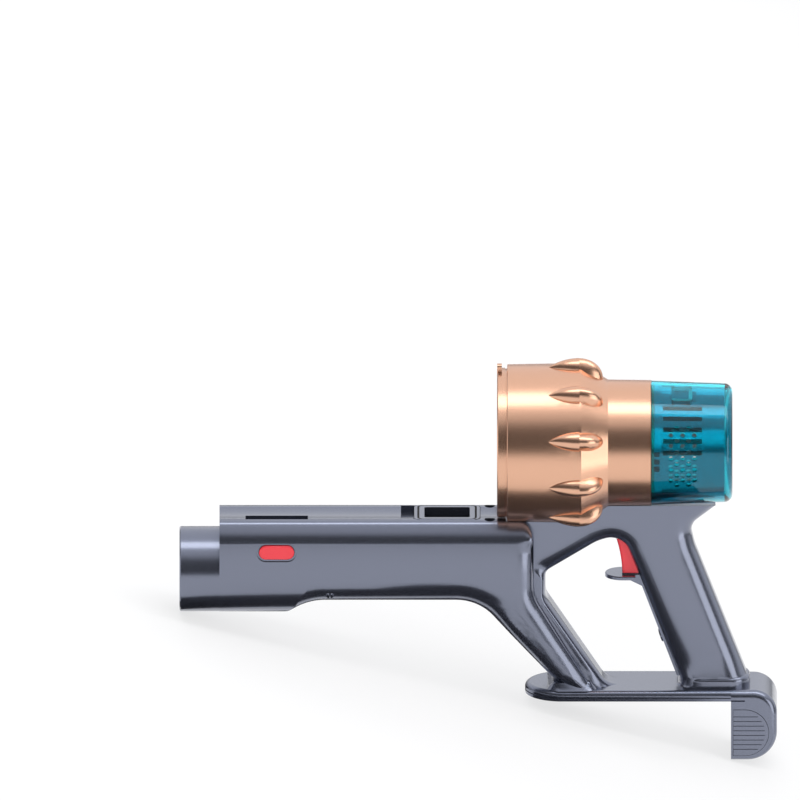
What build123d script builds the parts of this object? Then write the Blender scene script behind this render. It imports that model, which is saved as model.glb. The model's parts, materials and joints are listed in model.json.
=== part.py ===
"""Main body of a cordless stick vacuum: tube housing, motor barrel, exhaust cap, grip and battery dock.

Everything is drawn level, in millimetres: the wand tube lies along X with its mouth at the origin, the
motor lies along X above the tube's rear end, and the near side is towards -Y. At the end the whole body
is leaned back until its nose and its heel stand on one level, as it comes to rest on a table.
"""

from build123d import *
from math import *
import os

# Tube housing
TUBE_RADIUS = 29.0
NOSE_LENGTH = 27.2
TUBE_END = 241.0
SHOULDER_TOP = 40.0
SHOULDER_ROUND = 14.0
FLAT_DEPTH = 17.8
SCOOP_CORNER = 88.0
SCOOP_SLOPE = 0.6
SCOOP_ROUND = 40.0
STRUT_START = 185.0
UNDERSIDE_ROUND = 17.4
TUBE_WALL = 2.0

# Wand socket and air duct
SOCKET_RADIUS = 25.2
SOCKET_DEPTH = 62.0
COLLAR_END = 66.0
DUCT_RADIUS = 20.0
DUCT_WALL = 2.0

# Air port on the top
PORT_FRONT = 166.5
PORT_LENGTH = 30.9
PORT_WIDTH = 22.9
PORT_FRAME = 3.4
PORT_SEAL = 1.4
PORT_LIP = 2.1
PORT_SIDE_SEAL = 0.9
PORT_SIDE_LIP = 0.6
PORT_RAISE = 0.2
PORT_GROOVE = 3.0

# Strip along the top
SADDLE_END = 150.6
SADDLE_HALF_WIDTH = 15.3
SADDLE_THICK = 4.3
NOTCH_DEPTH = 2.6
TROUGH_RADIUS = 51.5
CATCH_FRONT = 44.9
CATCH_REAR = 87.3
CATCH_FAR = -2.0
CATCH_DEPTH = 7.8

# Screw holes in the top and in the lower rounding
TOP_SCREW_X = 211.0
TOP_SCREW_Y = 15.3
TOP_SCREW_RADIUS = 3.6
TOP_SCREW_DEPTH = 7.0
SIDE_SCREW_X = 102.3
SIDE_SCREW_Z = -11.4
SIDE_SCREW_RADIUS = 2.8

# Strut and base
STRUT_HALF_WIDTH = 22.5
STRUT_ROUND = 5.0
BASE_TOP = -80.0
BASE_THICK = 7.0
BASE_FRONT = 235.0
BASE_HALF_WIDTH = 25.0

# Frame with the finger window
FRAME_HALF_WIDTH = 16.0
WINDOW_ROUND = 9.0
GRIP_ROUND = 13.0
FOOT_HEIGHT = 7.0
STRUT_FOOT_HEIGHT = 5.0

# Control board
BOARD_PLACE = Pos(246, 0, -44) * Rot(0, 50, 0)

# Heel
HEEL_FRONT = 375.0
HEEL_REAR = 406.3
HEEL_BOTTOM = -129.5
HEEL_EDGE = 5.0
BATTERY_BUTTON_HEIGHT = 32.4
BATTERY_BUTTON_REAR = 400.6
BATTERY_BUTTON_MIDDLE = -109.6
BATTERY_BUTTON_TRAVEL = 3.0
BUTTON_THICK = 4.2
BUTTON_SINK = 0.9
BUTTON_POCKET = 9.5
BATTERY_PEG = 1.2
BATTERY_SPRING_X = 386.0
TERMINAL_DEPTH = 16.0

# Motor line
MOTOR_HEIGHT = 89.8
TROUGH_LOW = MOTOR_HEIGHT - TROUGH_RADIUS
SADDLE_FLOOR = TROUGH_LOW - SADDLE_THICK
NOTCH_FLOOR = TROUGH_LOW - NOTCH_DEPTH
PORT_TOP = SHOULDER_TOP + PORT_RAISE
BARREL_FRONT = 222.7
BARREL_RADIUS = 53.4
SEAM = 272.0
SEAM_RADIUS = 54.2
NECK_START = 291.4
NECK_RADIUS = 43.0
CAP_START = 321.0
CAP_END = 376.0
CAP_RADIUS = NECK_RADIUS - 0.7
CAP_END_RADIUS = CAP_RADIUS - 2.0
CAP_WALL = 2.0
VENT_START = 334.2
VENT_COLUMN = 4.0
VENT_LOW = -26.7
VENT_TURN = 11.55
VENT_RADIUS = 1.7
CAGE_START = CAP_START + 2.1
CAGE_STEP = CAP_START + 6.8
CAGE_END = CAP_END - 4.0
CAGE_RADIUS = CAP_RADIUS - 4.4
CAGE_WALL = 1.6
CAGE_SLOT_START = 328.8
CAGE_SLOT_LENGTH = 26.5
CAGE_SLOT_WIDTH = 3.2
CAGE_SLOT_LOW = 6.6
CAGE_SLOT_TURN = 12.0
CAGE_LATCH_TURN = 71.0
FILTER_START = CAP_START + 3.0
FILTER_RADIUS = CAGE_RADIUS - 4.0
FILTER_PLEATS = 36
BARREL_WALL = 2.4
RING_FRONT = 215.9
RING_RADIUS = 51.0
CONE_COUNT = 10
CONE_RADIUS = 6.8
CONE_LINE = 53.2
CONE_TIP = 250.0
HOOD_END = 288.0

# Motor
BULKHEAD_FRONT = 256.0
BULKHEAD_THICK = 3.0
INTAKE_RADIUS = 24.0
MOTOR_RADIUS = 32.0
MOTOR_LENGTH = 48.0
MOTOR_FRONT = BULKHEAD_FRONT + BULKHEAD_THICK + 5.0
MOTOR_REAR = MOTOR_FRONT + MOTOR_LENGTH
SHAFT_RADIUS = 2.5
BORE_GAP = 0.05

# Grip
TRIGGER_HALF_WIDTH = 6.0
TRIGGER_PIVOT = (304.5, 29.5)
TRIGGER_TRAVEL = 9.0
TRIGGER_FOOT = -1.2
TRIGGER_WELL_X = 313.2
TRIGGER_WELL_DEPTH = 8.0
TRIGGER_SPRING_Z = 10.0
TRIGGER_SPRING_END = 318.4
REST_TOP = -2.3
REST_THICK = 2.4
REST_HALF_WIDTH = 12.0
REST_FRONT = 289.3

# Red wand buttons
WAND_BUTTON_X = 66.0
WAND_BUTTON_Z = 20.0
WAND_BUTTON_LENGTH = 24.0
WAND_BUTTON_HEIGHT = 9.6
WAND_BUTTON_THICK = 3.8
WAND_BUTTON_SINK = 0.3
WAND_BUTTON_POCKET = 8.8
WAND_BUTTON_TRAVEL = 2.5
RECESS = 1.5

FIT = 0.3
SPRING_GAP = 0.15
SIDES = {"left": 1, "right": -1}


def side_profile(*corners):
    """A closed side view, its corners given as x, z and the corner's radius."""
    points = [(x, z) for x, z, radius in corners]
    radii = [radius for x, z, radius in corners]
    return Plane.XZ * make_face(FilletPolyline(*points, radius=radii, close=True).edges())


def slab(face, half_width):
    """A side view given its width, evenly to both sides of the middle."""
    return extrude(face, amount=half_width, both=True)


def span(low, high):
    """A block between two corners."""
    size = [b - a for a, b in zip(low, high)]
    middle = [(a + b) / 2 for a, b in zip(low, high)]
    return Pos(*middle) * Box(*size)


def rod(start, end, radius, height=0.0, across=0.0):
    """A round bar along X."""
    bar = Cylinder(radius, end - start, rotation=(0, 90, 0))
    return Pos((start + end) / 2, across, height) * bar


def turned(*points):
    """A solid of revolution about the motor line, from x and radius pairs."""
    face = Plane.XZ * make_face(Polyline(*points, close=True).edges())
    return Pos(0, 0, MOTOR_HEIGHT) * Rot(180 / CONE_COUNT, 0, 0) * revolve(face, axis=Axis.X)


def around(piece, count, start=0.0):
    """Copies of a piece, evenly round the motor line."""
    line = Axis((0, 0, MOTOR_HEIGHT), (1, 0, 0))
    return [piece.rotate(line, start + 360.0 * i / count) for i in range(count)]


def edges_where(solid, test):
    return [edge for edge in solid.edges() if test(edge, edge.center())]


def motor_space(gap=FIT):
    """The room that the motor unit takes out of the body below it."""
    ring = rod(RING_FRONT - 1.0, BARREL_FRONT - 0.6, RING_RADIUS + gap, MOTOR_HEIGHT)
    unit = turned(
        (BARREL_FRONT - 0.7, 0),
        (BARREL_FRONT - 0.7, BARREL_RADIUS + gap),
        (SEAM, SEAM_RADIUS + gap),
        (SEAM + 1.4, SEAM_RADIUS + gap),
        (NECK_START, NECK_RADIUS + gap),
        (CAP_END + 40, NECK_RADIUS + gap),
        (CAP_END + 40, 0),
    )
    return ring + unit


def tube_section():
    """The round tube housing's outline seen from the front, square at its shoulders."""
    face = Rectangle(2 * TUBE_RADIUS, SHOULDER_TOP + TUBE_RADIUS)
    face = Pos(0, (SHOULDER_TOP - TUBE_RADIUS) / 2) * face
    side_end = UNDERSIDE_ROUND - FLAT_DEPTH
    face = fillet(face.vertices().group_by(Axis.Y)[0], radius=TUBE_RADIUS + side_end)
    face = fillet(face.vertices().group_by(Axis.Y)[-1], radius=SHOULDER_ROUND)
    return Plane.YZ * face


def body_section():
    """The limits of the body seen from the front: full width at the tube, narrower at the base."""
    low = BASE_TOP - 6
    waist_top = 0.0
    waist = (TUBE_RADIUS - STRUT_HALF_WIDTH) / 4
    corner = TUBE_RADIUS - SHOULDER_ROUND
    bulge = SHOULDER_ROUND * (1 - sin(radians(45)))

    def half(side):
        wide = side * TUBE_RADIUS
        return [
            Line((0, SHOULDER_TOP), (side * corner, SHOULDER_TOP)).edge(),
            ThreePointArc(
                (side * corner, SHOULDER_TOP),
                (side * (TUBE_RADIUS - bulge), SHOULDER_TOP - bulge),
                (wide, SHOULDER_TOP - SHOULDER_ROUND),
            ).edge(),
            Line((wide, SHOULDER_TOP - SHOULDER_ROUND), (wide, waist_top)).edge(),
            ThreePointArc(
                (wide, waist_top), (wide - side * waist, (waist_top + low) / 2), (side * STRUT_HALF_WIDTH, low)
            ).edge(),
            Line((side * STRUT_HALF_WIDTH, low), (0, low)).edge(),
        ]

    return Plane.YZ * make_face(half(1) + half(-1))


def strut():
    """The rear end of the tube housing, running down into the wide strut."""
    low = BASE_TOP - 4
    start = STRUT_START - 30
    outline = side_profile(
        (start, SHOULDER_TOP + 2, 0),
        (TUBE_END, SHOULDER_TOP + 2, 16),
        (TUBE_END, -14, 30),
        (283, low, 0),
        (263, low, 0),
        (203, -FLAT_DEPTH, 34),
        (start, -FLAT_DEPTH, 0),
    )
    wide = slab(outline, TUBE_RADIUS) & extrude(body_section(), amount=400)

    def along(edge, middle):
        lies_outside = abs(middle.Y) > 20 and middle.X > start + 1 and middle.Z > BASE_TOP
        return lies_outside and abs(edge.tangent_at(0.5).Y) < 0.6

    def underside(edge, middle):
        strut_back = middle.Z < -50 and middle.X < 245
        return along(edge, middle) and middle.Z < -10 and (middle.X < 215 or strut_back)

    def rear(edge, middle):
        strut_back = middle.Z < -50 and middle.X < 245
        return along(edge, middle) and middle.X > 230 and not strut_back and middle.Z < 30

    wide = fillet(edges_where(wide, underside), radius=UNDERSIDE_ROUND)
    wide = fillet(edges_where(wide, rear), radius=STRUT_ROUND)
    return wide - span((0, -60, -200), (STRUT_START, 60, 200))


def tube():
    """The tube housing: round below in front, and scooped up behind to a flat underside."""
    low = -TUBE_RADIUS - 5
    run = (-FLAT_DEPTH - low) / SCOOP_SLOPE
    outline = side_profile(
        (NOSE_LENGTH - 5, SHOULDER_TOP + 1, 0),
        (NOSE_LENGTH - 5, low, 0),
        (SCOOP_CORNER - run, low, 0),
        (SCOOP_CORNER, -FLAT_DEPTH, SCOOP_ROUND),
        (STRUT_START, -FLAT_DEPTH, 0),
        (STRUT_START, SHOULDER_TOP + 1, 0),
    )
    block = slab(outline, TUBE_RADIUS)

    def lower(edge, middle):
        on_side = abs(abs(middle.Y) - TUBE_RADIUS) < 0.01
        return on_side and middle.Z < -1 and NOSE_LENGTH < middle.X < STRUT_START - 1

    block = fillet(edges_where(block, lower), radius=UNDERSIDE_ROUND)
    return extrude(Pos(NOSE_LENGTH, 0, 0) * tube_section(), amount=STRUT_START - NOSE_LENGTH) & block


def window_frame():
    """The narrow part: the web under the motor, the window's rim and the grip."""
    deep = BASE_TOP - 24
    outline = side_profile(
        (226, -22, 20),
        (276, deep, 0),
        (397.5, deep, 0),
        (350.5, 18, 40),
        (347, 33, 10),
        (367, 48.5, 0),
        (367, 52, 0),
        (226, 52, 0),
    )
    window = side_profile(
        (248.9, -17, 12),
        (248.9, 1, 6),
        (284, 22.3, 30),
        (301, 27.5, 13),
        (316.5, -11.8, 60),
        (342.5, BASE_TOP, 4),
        (291, BASE_TOP, 13),
    )
    frame = slab(outline, FRAME_HALF_WIDTH) - slab(window, FRAME_HALF_WIDTH + 1)

    def on_side(middle):
        return abs(abs(middle.Y) - FRAME_HALF_WIDTH) < 0.01

    def inner(edge, middle):
        return on_side(middle) and 248 < middle.X < 342 and BASE_TOP - 1 < middle.Z < 30

    def grip_rear(edge, middle):
        return on_side(middle) and middle.X > 345 and deep + 4 < middle.Z < 50

    frame = fillet(edges_where(frame, inner), radius=WINDOW_ROUND)
    frame = fillet(edges_where(frame, grip_rear), radius=GRIP_ROUND)
    return frame - span((200, -60, deep - 5), (420, 60, BASE_TOP))


def grip_foot():
    """The low collar round the grip where it meets the base."""
    plan = Pos(364.5, 0) * RectangleRounded(47, 2 * FRAME_HALF_WIDTH + 2.4, 14)
    collar = Pos(0, 0, BASE_TOP) * extrude(plan, amount=FOOT_HEIGHT)
    return fillet(collar.edges().group_by(Axis.Z)[-1], radius=3)


def strut_foot():
    """The skirt that spreads the strut on to the base."""
    plan = Pos(267, 0) * RectangleRounded(34, 2 * STRUT_HALF_WIDTH + 4, 9)
    return Pos(0, 0, BASE_TOP) * extrude(plan, amount=STRUT_FOOT_HEIGHT, taper=40)


def trigger_outline(grow=0.0):
    """Side view of the trigger: a concave front for the finger, and a hub round its pivot."""
    pivot_x, pivot_z = TRIGGER_PIVOT
    g = grow
    edges = [
        ThreePointArc((295.6 - g, 27.0), (299.6 - g, 12.5), (301.0 - g, TRIGGER_FOOT - g)).edge(),
        Line((301.0 - g, TRIGGER_FOOT - g), (317.0 + g, TRIGGER_FOOT - g)).edge(),
        Line((317.0 + g, TRIGGER_FOOT - g), (310.5 + g, pivot_z + 3.5 + g)).edge(),
        Line((310.5 + g, pivot_z + 3.5 + g), (299.0 - g, pivot_z + 3.5 + g)).edge(),
        Line((299.0 - g, pivot_z + 3.5 + g), (295.6 - g, 27.0)).edge(),
    ]
    return Plane.XZ * make_face(edges)


def swept_trigger():
    """The room that the trigger needs over its whole pull."""
    room = slab(trigger_outline(grow=0.6), TRIGGER_HALF_WIDTH + 0.5)
    axis = Axis((TRIGGER_PIVOT[0], 0, TRIGGER_PIVOT[1]), (0, -1, 0))
    swept = room
    for share in (0.35, 0.7, 1.05):
        swept = swept + room.rotate(axis, TRIGGER_TRAVEL * share)
    return swept


def stadium(length, height, depth):
    """A flat bar with round ends, standing along -Y from y = 0."""
    return extrude(Plane.XZ * SlotOverall(length, height), amount=depth)


def wand_button_space():
    rim = Pos(WAND_BUTTON_X, -TUBE_RADIUS + RECESS + 1, WAND_BUTTON_Z)
    outer = rim * stadium(WAND_BUTTON_LENGTH + 3.2, WAND_BUTTON_HEIGHT + 3.2, 5)
    inner = Pos(WAND_BUTTON_X, -TUBE_RADIUS + WAND_BUTTON_POCKET, WAND_BUTTON_Z) * stadium(
        WAND_BUTTON_LENGTH + 2 * FIT, WAND_BUTTON_HEIGHT + 2 * FIT, 12
    )
    return (outer & span((0, -60, -60), (200, -TUBE_RADIUS + RECESS, 60))) + inner


def shell_cavities():
    """Everything that is cut out of both casing halves."""
    duct = DUCT_RADIUS + DUCT_WALL + FIT
    riser_end = PORT_FRONT + PORT_LENGTH + DUCT_WALL + FIT
    riser_half = PORT_WIDTH / 2 + DUCT_WALL + FIT
    rim_front = PORT_FRONT - PORT_FRAME - PORT_SEAL - PORT_LIP
    spaces = [
        rod(NOSE_LENGTH - 1, COLLAR_END + FIT, TUBE_RADIUS - TUBE_WALL, 0),
        rod(COLLAR_END, PORT_FRONT + 19, duct, 0) & span((0, -60, -FLAT_DEPTH + 1.6), (300, 60, 60)),
        span((PORT_FRONT - DUCT_WALL - FIT, -riser_half, -FLAT_DEPTH + 1.6), (riser_end, riser_half, SHOULDER_TOP + 5)),
        Pos(0, 0, SADDLE_FLOOR) * extrude(port_plan(PORT_LIP + PORT_SEAL, FIT), amount=20),
        span((SADDLE_END, -SADDLE_HALF_WIDTH - FIT, NOTCH_FLOOR), (rim_front, SADDLE_HALF_WIDTH + FIT, 60)),
        span((0, -SADDLE_HALF_WIDTH - FIT, SADDLE_FLOOR), (SADDLE_END + 0.2, SADDLE_HALF_WIDTH + FIT, 60)),
        rod(SADDLE_END, BARREL_FRONT + 7, TROUGH_RADIUS, MOTOR_HEIGHT),
        motor_space(),
        span((CONE_TIP - 1, -7.8, MOTOR_HEIGHT - CONE_LINE - CONE_RADIUS - 0.8), (HOOD_END + 1, 7.8, 50)),
        swept_trigger(),
        BOARD_PLACE * Box(54, 30, 13),
        span((322.2, -7.2, -16), (338.5, 7.2, 6)),
        grip_strip_blank(FIT),
        span((308, -7.3, REST_TOP - REST_THICK - 0.3), (316.5, 7.3, REST_TOP + 0.3)),
        Pos(TRIGGER_PIVOT[0], 0, TRIGGER_PIVOT[1]) * Cylinder(1.65, 18.4, rotation=(90, 0, 0)),
        mirror(wand_button_space(), about=Plane.XZ),
        Pos(TOP_SCREW_X, TOP_SCREW_Y, SHOULDER_TOP) * Cylinder(TOP_SCREW_RADIUS, 2 * TOP_SCREW_DEPTH),
        *side_screw_holes(),
    ]
    return spaces


def grip_strip_blank(grow=0.0):
    """The narrow strip let into the front of the grip."""
    top = (314.6, REST_TOP - REST_THICK)
    low = (340.4, BASE_TOP + 6)
    outline = side_profile(
        (top[0] - 2.2, top[1], 0),
        (low[0] - 2.2, low[1], 0),
        (low[0] + 3 + grow, low[1], 0),
        (top[0] + 3 + grow, top[1], 0),
    )
    return slab(outline, 7 + grow)


def casing_half():
    """The far half of the casing; the near half is its mirror image."""
    far = span((-10, 0, -200), (500, 100, 200))
    body = (tube() & far).fuse(strut() & far, tol=0.001)
    body = body + (window_frame() & far) + (grip_foot() & far) + (strut_foot() & far)
    body = body - span((200, -60, BASE_TOP - 30), (420, 60, BASE_TOP))
    for space in shell_cavities():
        body = body - space
    return body


def casing():
    """Both casing halves; the near one has the slot of the catch in its top."""
    left = casing_half()
    right = mirror(left, about=Plane.XZ) - catch_slot(FIT)
    return {"shell_left": left, "shell_right": right}


def nose_collar():
    """The wand socket: a round nose, with a spigot that reaches back inside the tube housing."""
    nose = rod(0, NOSE_LENGTH, TUBE_RADIUS)
    spigot = rod(NOSE_LENGTH, COLLAR_END, TUBE_RADIUS - TUBE_WALL - FIT)
    body = nose + spigot - rod(-1, SOCKET_DEPTH, SOCKET_RADIUS) - rod(0, COLLAR_END + 1, DUCT_RADIUS)
    mouth = edges_where(body, lambda edge, middle: abs(middle.X) < 0.1)
    return chamfer(mouth, length=0.8)


def inlet_duct():
    """The air duct from the wand socket back to the port, where it turns up."""
    start = COLLAR_END + FIT
    end = PORT_FRONT + PORT_LENGTH
    half = PORT_WIDTH / 2
    lid = SADDLE_FLOOR - FIT
    flat = -FLAT_DEPTH + 2.0
    outer = rod(start, PORT_FRONT + 18, DUCT_RADIUS + DUCT_WALL)
    outer += span((PORT_FRONT - DUCT_WALL, -half - DUCT_WALL, flat), (end + DUCT_WALL, half + DUCT_WALL, lid))
    outer = outer & span((0, -60, flat), (300, 60, 60))
    inner = rod(start - 1, PORT_FRONT + 16, DUCT_RADIUS)
    inner += span((PORT_FRONT, -half, flat + DUCT_WALL), (end, half, lid + 1))
    inner = inner & span((0, -60, flat + DUCT_WALL), (300, 60, 60))
    return outer - inner


def port_plan(ends, grow=0.0):
    """The port's outline seen from above, with its frame, and a share of what goes round that."""
    middle = (PORT_FRONT + PORT_LENGTH / 2, 0)
    sides = {0.0: 0.0, PORT_SEAL: PORT_SIDE_SEAL, PORT_SEAL + PORT_LIP: PORT_SIDE_SEAL + PORT_SIDE_LIP}[ends]
    length = PORT_LENGTH + 2 * (PORT_FRAME + ends + grow)
    width = PORT_WIDTH + 2 * (PORT_FRAME + sides + grow)
    return Pos(*middle) * RectangleRounded(length, width, 3 + sides)


def port_parts():
    """The frame round the air port, with a lip and, in the groove between them, a black rubber seal."""
    middle = (PORT_FRONT + PORT_LENGTH / 2, 0)
    height = PORT_TOP - SADDLE_FLOOR
    hole = extrude(Pos(*middle) * RectangleRounded(PORT_LENGTH, PORT_WIDTH, 1.5), amount=100)
    rim = Pos(0, 0, SADDLE_FLOOR) * extrude(port_plan(PORT_SEAL + PORT_LIP), amount=height)
    rim = chamfer(rim.faces().sort_by(Axis.Z)[-1].outer_wire().edges(), length=0.25)
    ring = extrude(port_plan(PORT_SEAL), amount=PORT_GROOVE) - extrude(port_plan(0.0), amount=PORT_GROOVE)
    groove = Pos(0, 0, PORT_TOP - PORT_GROOVE) * ring
    seal = groove & span((0, -60, 0), (300, 60, PORT_TOP - 0.3))
    return {"port_rim": rim - hole - groove, "port_seal": seal}


def side_screw_holes():
    """The screw hole in the lower rounding, with a rib across it."""
    hole = Pos(SIDE_SCREW_X, TUBE_RADIUS - 4, SIDE_SCREW_Z) * Cylinder(SIDE_SCREW_RADIUS, 12, rotation=(90, 0, 0))
    rib = Pos(SIDE_SCREW_X, TUBE_RADIUS - 4, SIDE_SCREW_Z) * Box(1.0, 14, 10)
    return [hole - rib]


def catch_slot(grow=0.0):
    """The slot that a catch drops into, in the near edge of the top."""
    near = -SADDLE_HALF_WIDTH - grow
    low = TROUGH_LOW - CATCH_DEPTH
    return span((CATCH_FRONT - grow, near, low), (CATCH_REAR + grow, CATCH_FAR + grow, SHOULDER_TOP + 5))


def top_saddle():
    """The hollowed strip along the top of the tube, with the catch's slot in its near edge."""
    half = SADDLE_HALF_WIDTH
    strip = span((NOSE_LENGTH, -half, SADDLE_FLOOR + FIT), (SADDLE_END, half, SHOULDER_TOP))
    strip = strip - rod(0, SADDLE_END + 1, TROUGH_RADIUS, MOTOR_HEIGHT)
    return strip - catch_slot()


def dock_plate():
    """The battery dock: a long plate with round front, a groove round its edge and two rails below."""
    def plan(inset):
        half = BASE_HALF_WIDTH - inset
        nose = Pos(BASE_FRONT + BASE_HALF_WIDTH, 0) * Circle(half)
        run = Pos((BASE_FRONT + BASE_HALF_WIDTH + HEEL_FRONT) / 2, 0)
        return nose + run * Rectangle(HEEL_FRONT - BASE_FRONT - BASE_HALF_WIDTH, 2 * half)

    low = BASE_TOP - BASE_THICK
    plate = Pos(0, 0, low) * extrude(plan(0), amount=BASE_THICK)
    top_edges = plate.faces().sort_by(Axis.Z)[-1].outer_wire().edges()
    top_edges = [edge for edge in top_edges if edge.center().X < HEEL_FRONT - 1]
    plate = fillet(top_edges, radius=3.6)
    groove = extrude(plan(-2) - plan(1.0), amount=0.9)
    plate = plate - Pos(0, 0, low + 1.9) * groove
    for side in (1, -1):
        rail = span((BASE_FRONT + 30, side * 17 - 1.6, low - 1), (HEEL_FRONT + 1, side * 17 + 1.6, low + 3))
        plate = plate - rail
    return plate


def heel_space(side):
    """The pocket of one battery button, from the side face inwards."""
    button = battery_button_plan(FIT)
    pocket = Pos(0, -BASE_HALF_WIDTH + BUTTON_POCKET, 0) * extrude(button, amount=12)
    ring = Pos(0, -BASE_HALF_WIDTH + 1.2, 0) * extrude(battery_button_plan(3.0), amount=3)
    both = pocket + ring
    return both if side < 0 else mirror(both, about=Plane.XZ)


def battery_button_plan(grow=0.0):
    """Side view of a battery button: flat in front and round behind."""
    half = BATTERY_BUTTON_HEIGHT / 2 + grow
    rear = BATTERY_BUTTON_REAR + grow
    front = HEEL_FRONT + 1.6 - min(grow, 1.0)
    middle = BATTERY_BUTTON_MIDDLE
    centre = rear - half
    edges = [
        Line((front, middle - half), (centre, middle - half)).edge(),
        ThreePointArc((centre, middle - half), (rear, middle), (centre, middle + half)).edge(),
        Line((centre, middle + half), (front, middle + half)).edge(),
        Line((front, middle + half), (front, middle - half)).edge(),
    ]
    return Plane.XZ * make_face(edges)


def heel_cover():
    """The heel behind the battery dock, with a pocket each side for the battery buttons."""
    outline = side_profile(
        (HEEL_FRONT, BASE_TOP, 0),
        (HEEL_REAR, BASE_TOP, 16),
        (HEEL_REAR, HEEL_BOTTOM, 20),
        (HEEL_FRONT, HEEL_BOTTOM, 0),
    )
    heel = slab(outline, BASE_HALF_WIDTH)
    side_edges = edges_where(
        heel,
        lambda edge, middle: abs(abs(middle.Y) - BASE_HALF_WIDTH) < 0.01 and middle.X > HEEL_FRONT + 1,
    )
    heel = fillet(side_edges, radius=HEEL_EDGE)
    for side in SIDES.values():
        heel = heel - heel_space(side)
    z = BATTERY_BUTTON_MIDDLE
    socket = span((HEEL_FRONT - 1, -12, z - 7), (HEEL_FRONT + TERMINAL_DEPTH, 12, z + 7))
    gap = span((HEEL_FRONT - 1, -30, BASE_TOP - BASE_THICK - 0.2), (HEEL_FRONT + 9.5, -22, BASE_TOP - BASE_THICK + 0.8))
    return heel - socket - gap - mirror(gap, about=Plane.XZ)


def battery_button(side):
    """A ribbed D-shaped button with a guide peg for its spring."""
    thick = BUTTON_THICK
    face = -BASE_HALF_WIDTH + BUTTON_SINK
    plate = Pos(0, face + thick, 0) * extrude(battery_button_plan(), amount=thick)
    pitch = 3.3
    for row in range(-4, 4):
        z = BATTERY_BUTTON_MIDDLE + (row + 0.5) * pitch
        half = BATTERY_BUTTON_HEIGHT / 2
        reach = BATTERY_BUTTON_REAR - half + sqrt(half**2 - (z - BATTERY_BUTTON_MIDDLE) ** 2) - 2.5
        plate = plate - span((HEEL_FRONT - 1, face - 1, z - 0.4), (reach, face + 0.7, z + 0.4))
    peg = Cylinder(2.2, BATTERY_PEG, rotation=(90, 0, 0))
    plate = plate + Pos(BATTERY_SPRING_X, face + thick + BATTERY_PEG / 2, BATTERY_BUTTON_MIDDLE) * peg
    return plate if side < 0 else mirror(plate, about=Plane.XZ)


def coil(length, radius, wire, turns):
    """A compression spring standing on the origin, along +Z."""
    height = length - wire
    path = Helix(pitch=height / turns, height=height, radius=radius)
    section = Plane(path @ 0, z_dir=path % 0) * Circle(wire / 2)
    return Pos(0, 0, wire / 2) * sweep(section, path=path, is_frenet=True)


def battery_spring(side):
    """The spring behind a battery button, in the bottom of its pocket."""
    start = -BASE_HALF_WIDTH + BUTTON_SINK + BUTTON_THICK + SPRING_GAP
    end = -BASE_HALF_WIDTH + BUTTON_POCKET - SPRING_GAP
    spring = Pos(BATTERY_SPRING_X, start, BATTERY_BUTTON_MIDDLE) * Rot(-90, 0, 0) * coil(end - start, 3.4, 0.8, 3)
    return spring if side < 0 else mirror(spring, about=Plane.XZ)


def wand_button(side):
    """A red oval button with a smaller guide behind it."""
    face = -TUBE_RADIUS + WAND_BUTTON_SINK
    thick = WAND_BUTTON_THICK
    cap = Pos(WAND_BUTTON_X, face + thick, WAND_BUTTON_Z) * stadium(WAND_BUTTON_LENGTH, WAND_BUTTON_HEIGHT, thick)
    outer = edges_where(cap, lambda edge, middle: abs(middle.Y - face) < 0.05)
    cap = fillet(outer, radius=0.9)
    peg = Cylinder(1.4, 1.6, rotation=(90, 0, 0))
    cap = cap + Pos(WAND_BUTTON_X, face + thick + 0.8, WAND_BUTTON_Z) * peg
    return cap if side < 0 else mirror(cap, about=Plane.XZ)


def wand_spring(side):
    """The spring behind a wand button, in the bottom of its pocket."""
    start = -TUBE_RADIUS + WAND_BUTTON_SINK + WAND_BUTTON_THICK + SPRING_GAP
    end = -TUBE_RADIUS + WAND_BUTTON_POCKET - SPRING_GAP
    spring = Pos(WAND_BUTTON_X, start, WAND_BUTTON_Z) * Rot(-90, 0, 0) * coil(end - start, 2.4, 0.6, 3)
    return spring if side < 0 else mirror(spring, about=Plane.XZ)


def trigger_spring():
    """The spring between the trigger's well and the wall behind it."""
    start = TRIGGER_WELL_X - TRIGGER_WELL_DEPTH / 2 + SPRING_GAP
    length = TRIGGER_SPRING_END - start
    return Pos(start, 0, TRIGGER_SPRING_Z) * Rot(0, 90, 0) * coil(length, 2.0, 0.6, 4)


def front_ring():
    """The seat ring at the barrel's mouth, with a small tab at its top."""
    ring = turned(
        (RING_FRONT, RING_RADIUS - 4.2),
        (RING_FRONT, RING_RADIUS - 0.8),
        (RING_FRONT + 0.8, RING_RADIUS),
        (BARREL_FRONT - 1.4, RING_RADIUS),
        (BARREL_FRONT - 1.4, RING_RADIUS - 0.5),
        (BARREL_FRONT + 9, RING_RADIUS - 0.5),
        (BARREL_FRONT + 9, RING_RADIUS - 4.2),
    )
    tab = Pos(0, 0, MOTOR_HEIGHT + RING_RADIUS + 0.65) * Box(3.2, 5.4, 8.7)
    tab = Pos(RING_FRONT + 1.7, 0, 0) * fillet(tab.edges().filter_by(Axis.X), radius=1.5)
    return ring + tab


def cone_solid():
    """One of the small cones that ring the barrel, from its pointed front to its widest place."""
    length = SEAM - CONE_TIP
    bow = (length**2 + CONE_RADIUS**2) / (2 * CONE_RADIUS)
    lift = sqrt(bow**2 - (length / 2) ** 2) - (bow - CONE_RADIUS)
    edges = [
        Line((CONE_TIP, 0), (SEAM, 0)).edge(),
        Line((SEAM, 0), (SEAM, CONE_RADIUS)).edge(),
        ThreePointArc((SEAM, CONE_RADIUS), (CONE_TIP + length / 2, lift), (CONE_TIP, 0)).edge(),
    ]
    bullet = revolve(Plane.XZ * make_face(edges), axis=Axis.X)
    return Pos(0, 0, MOTOR_HEIGHT + CONE_LINE) * bullet


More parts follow.
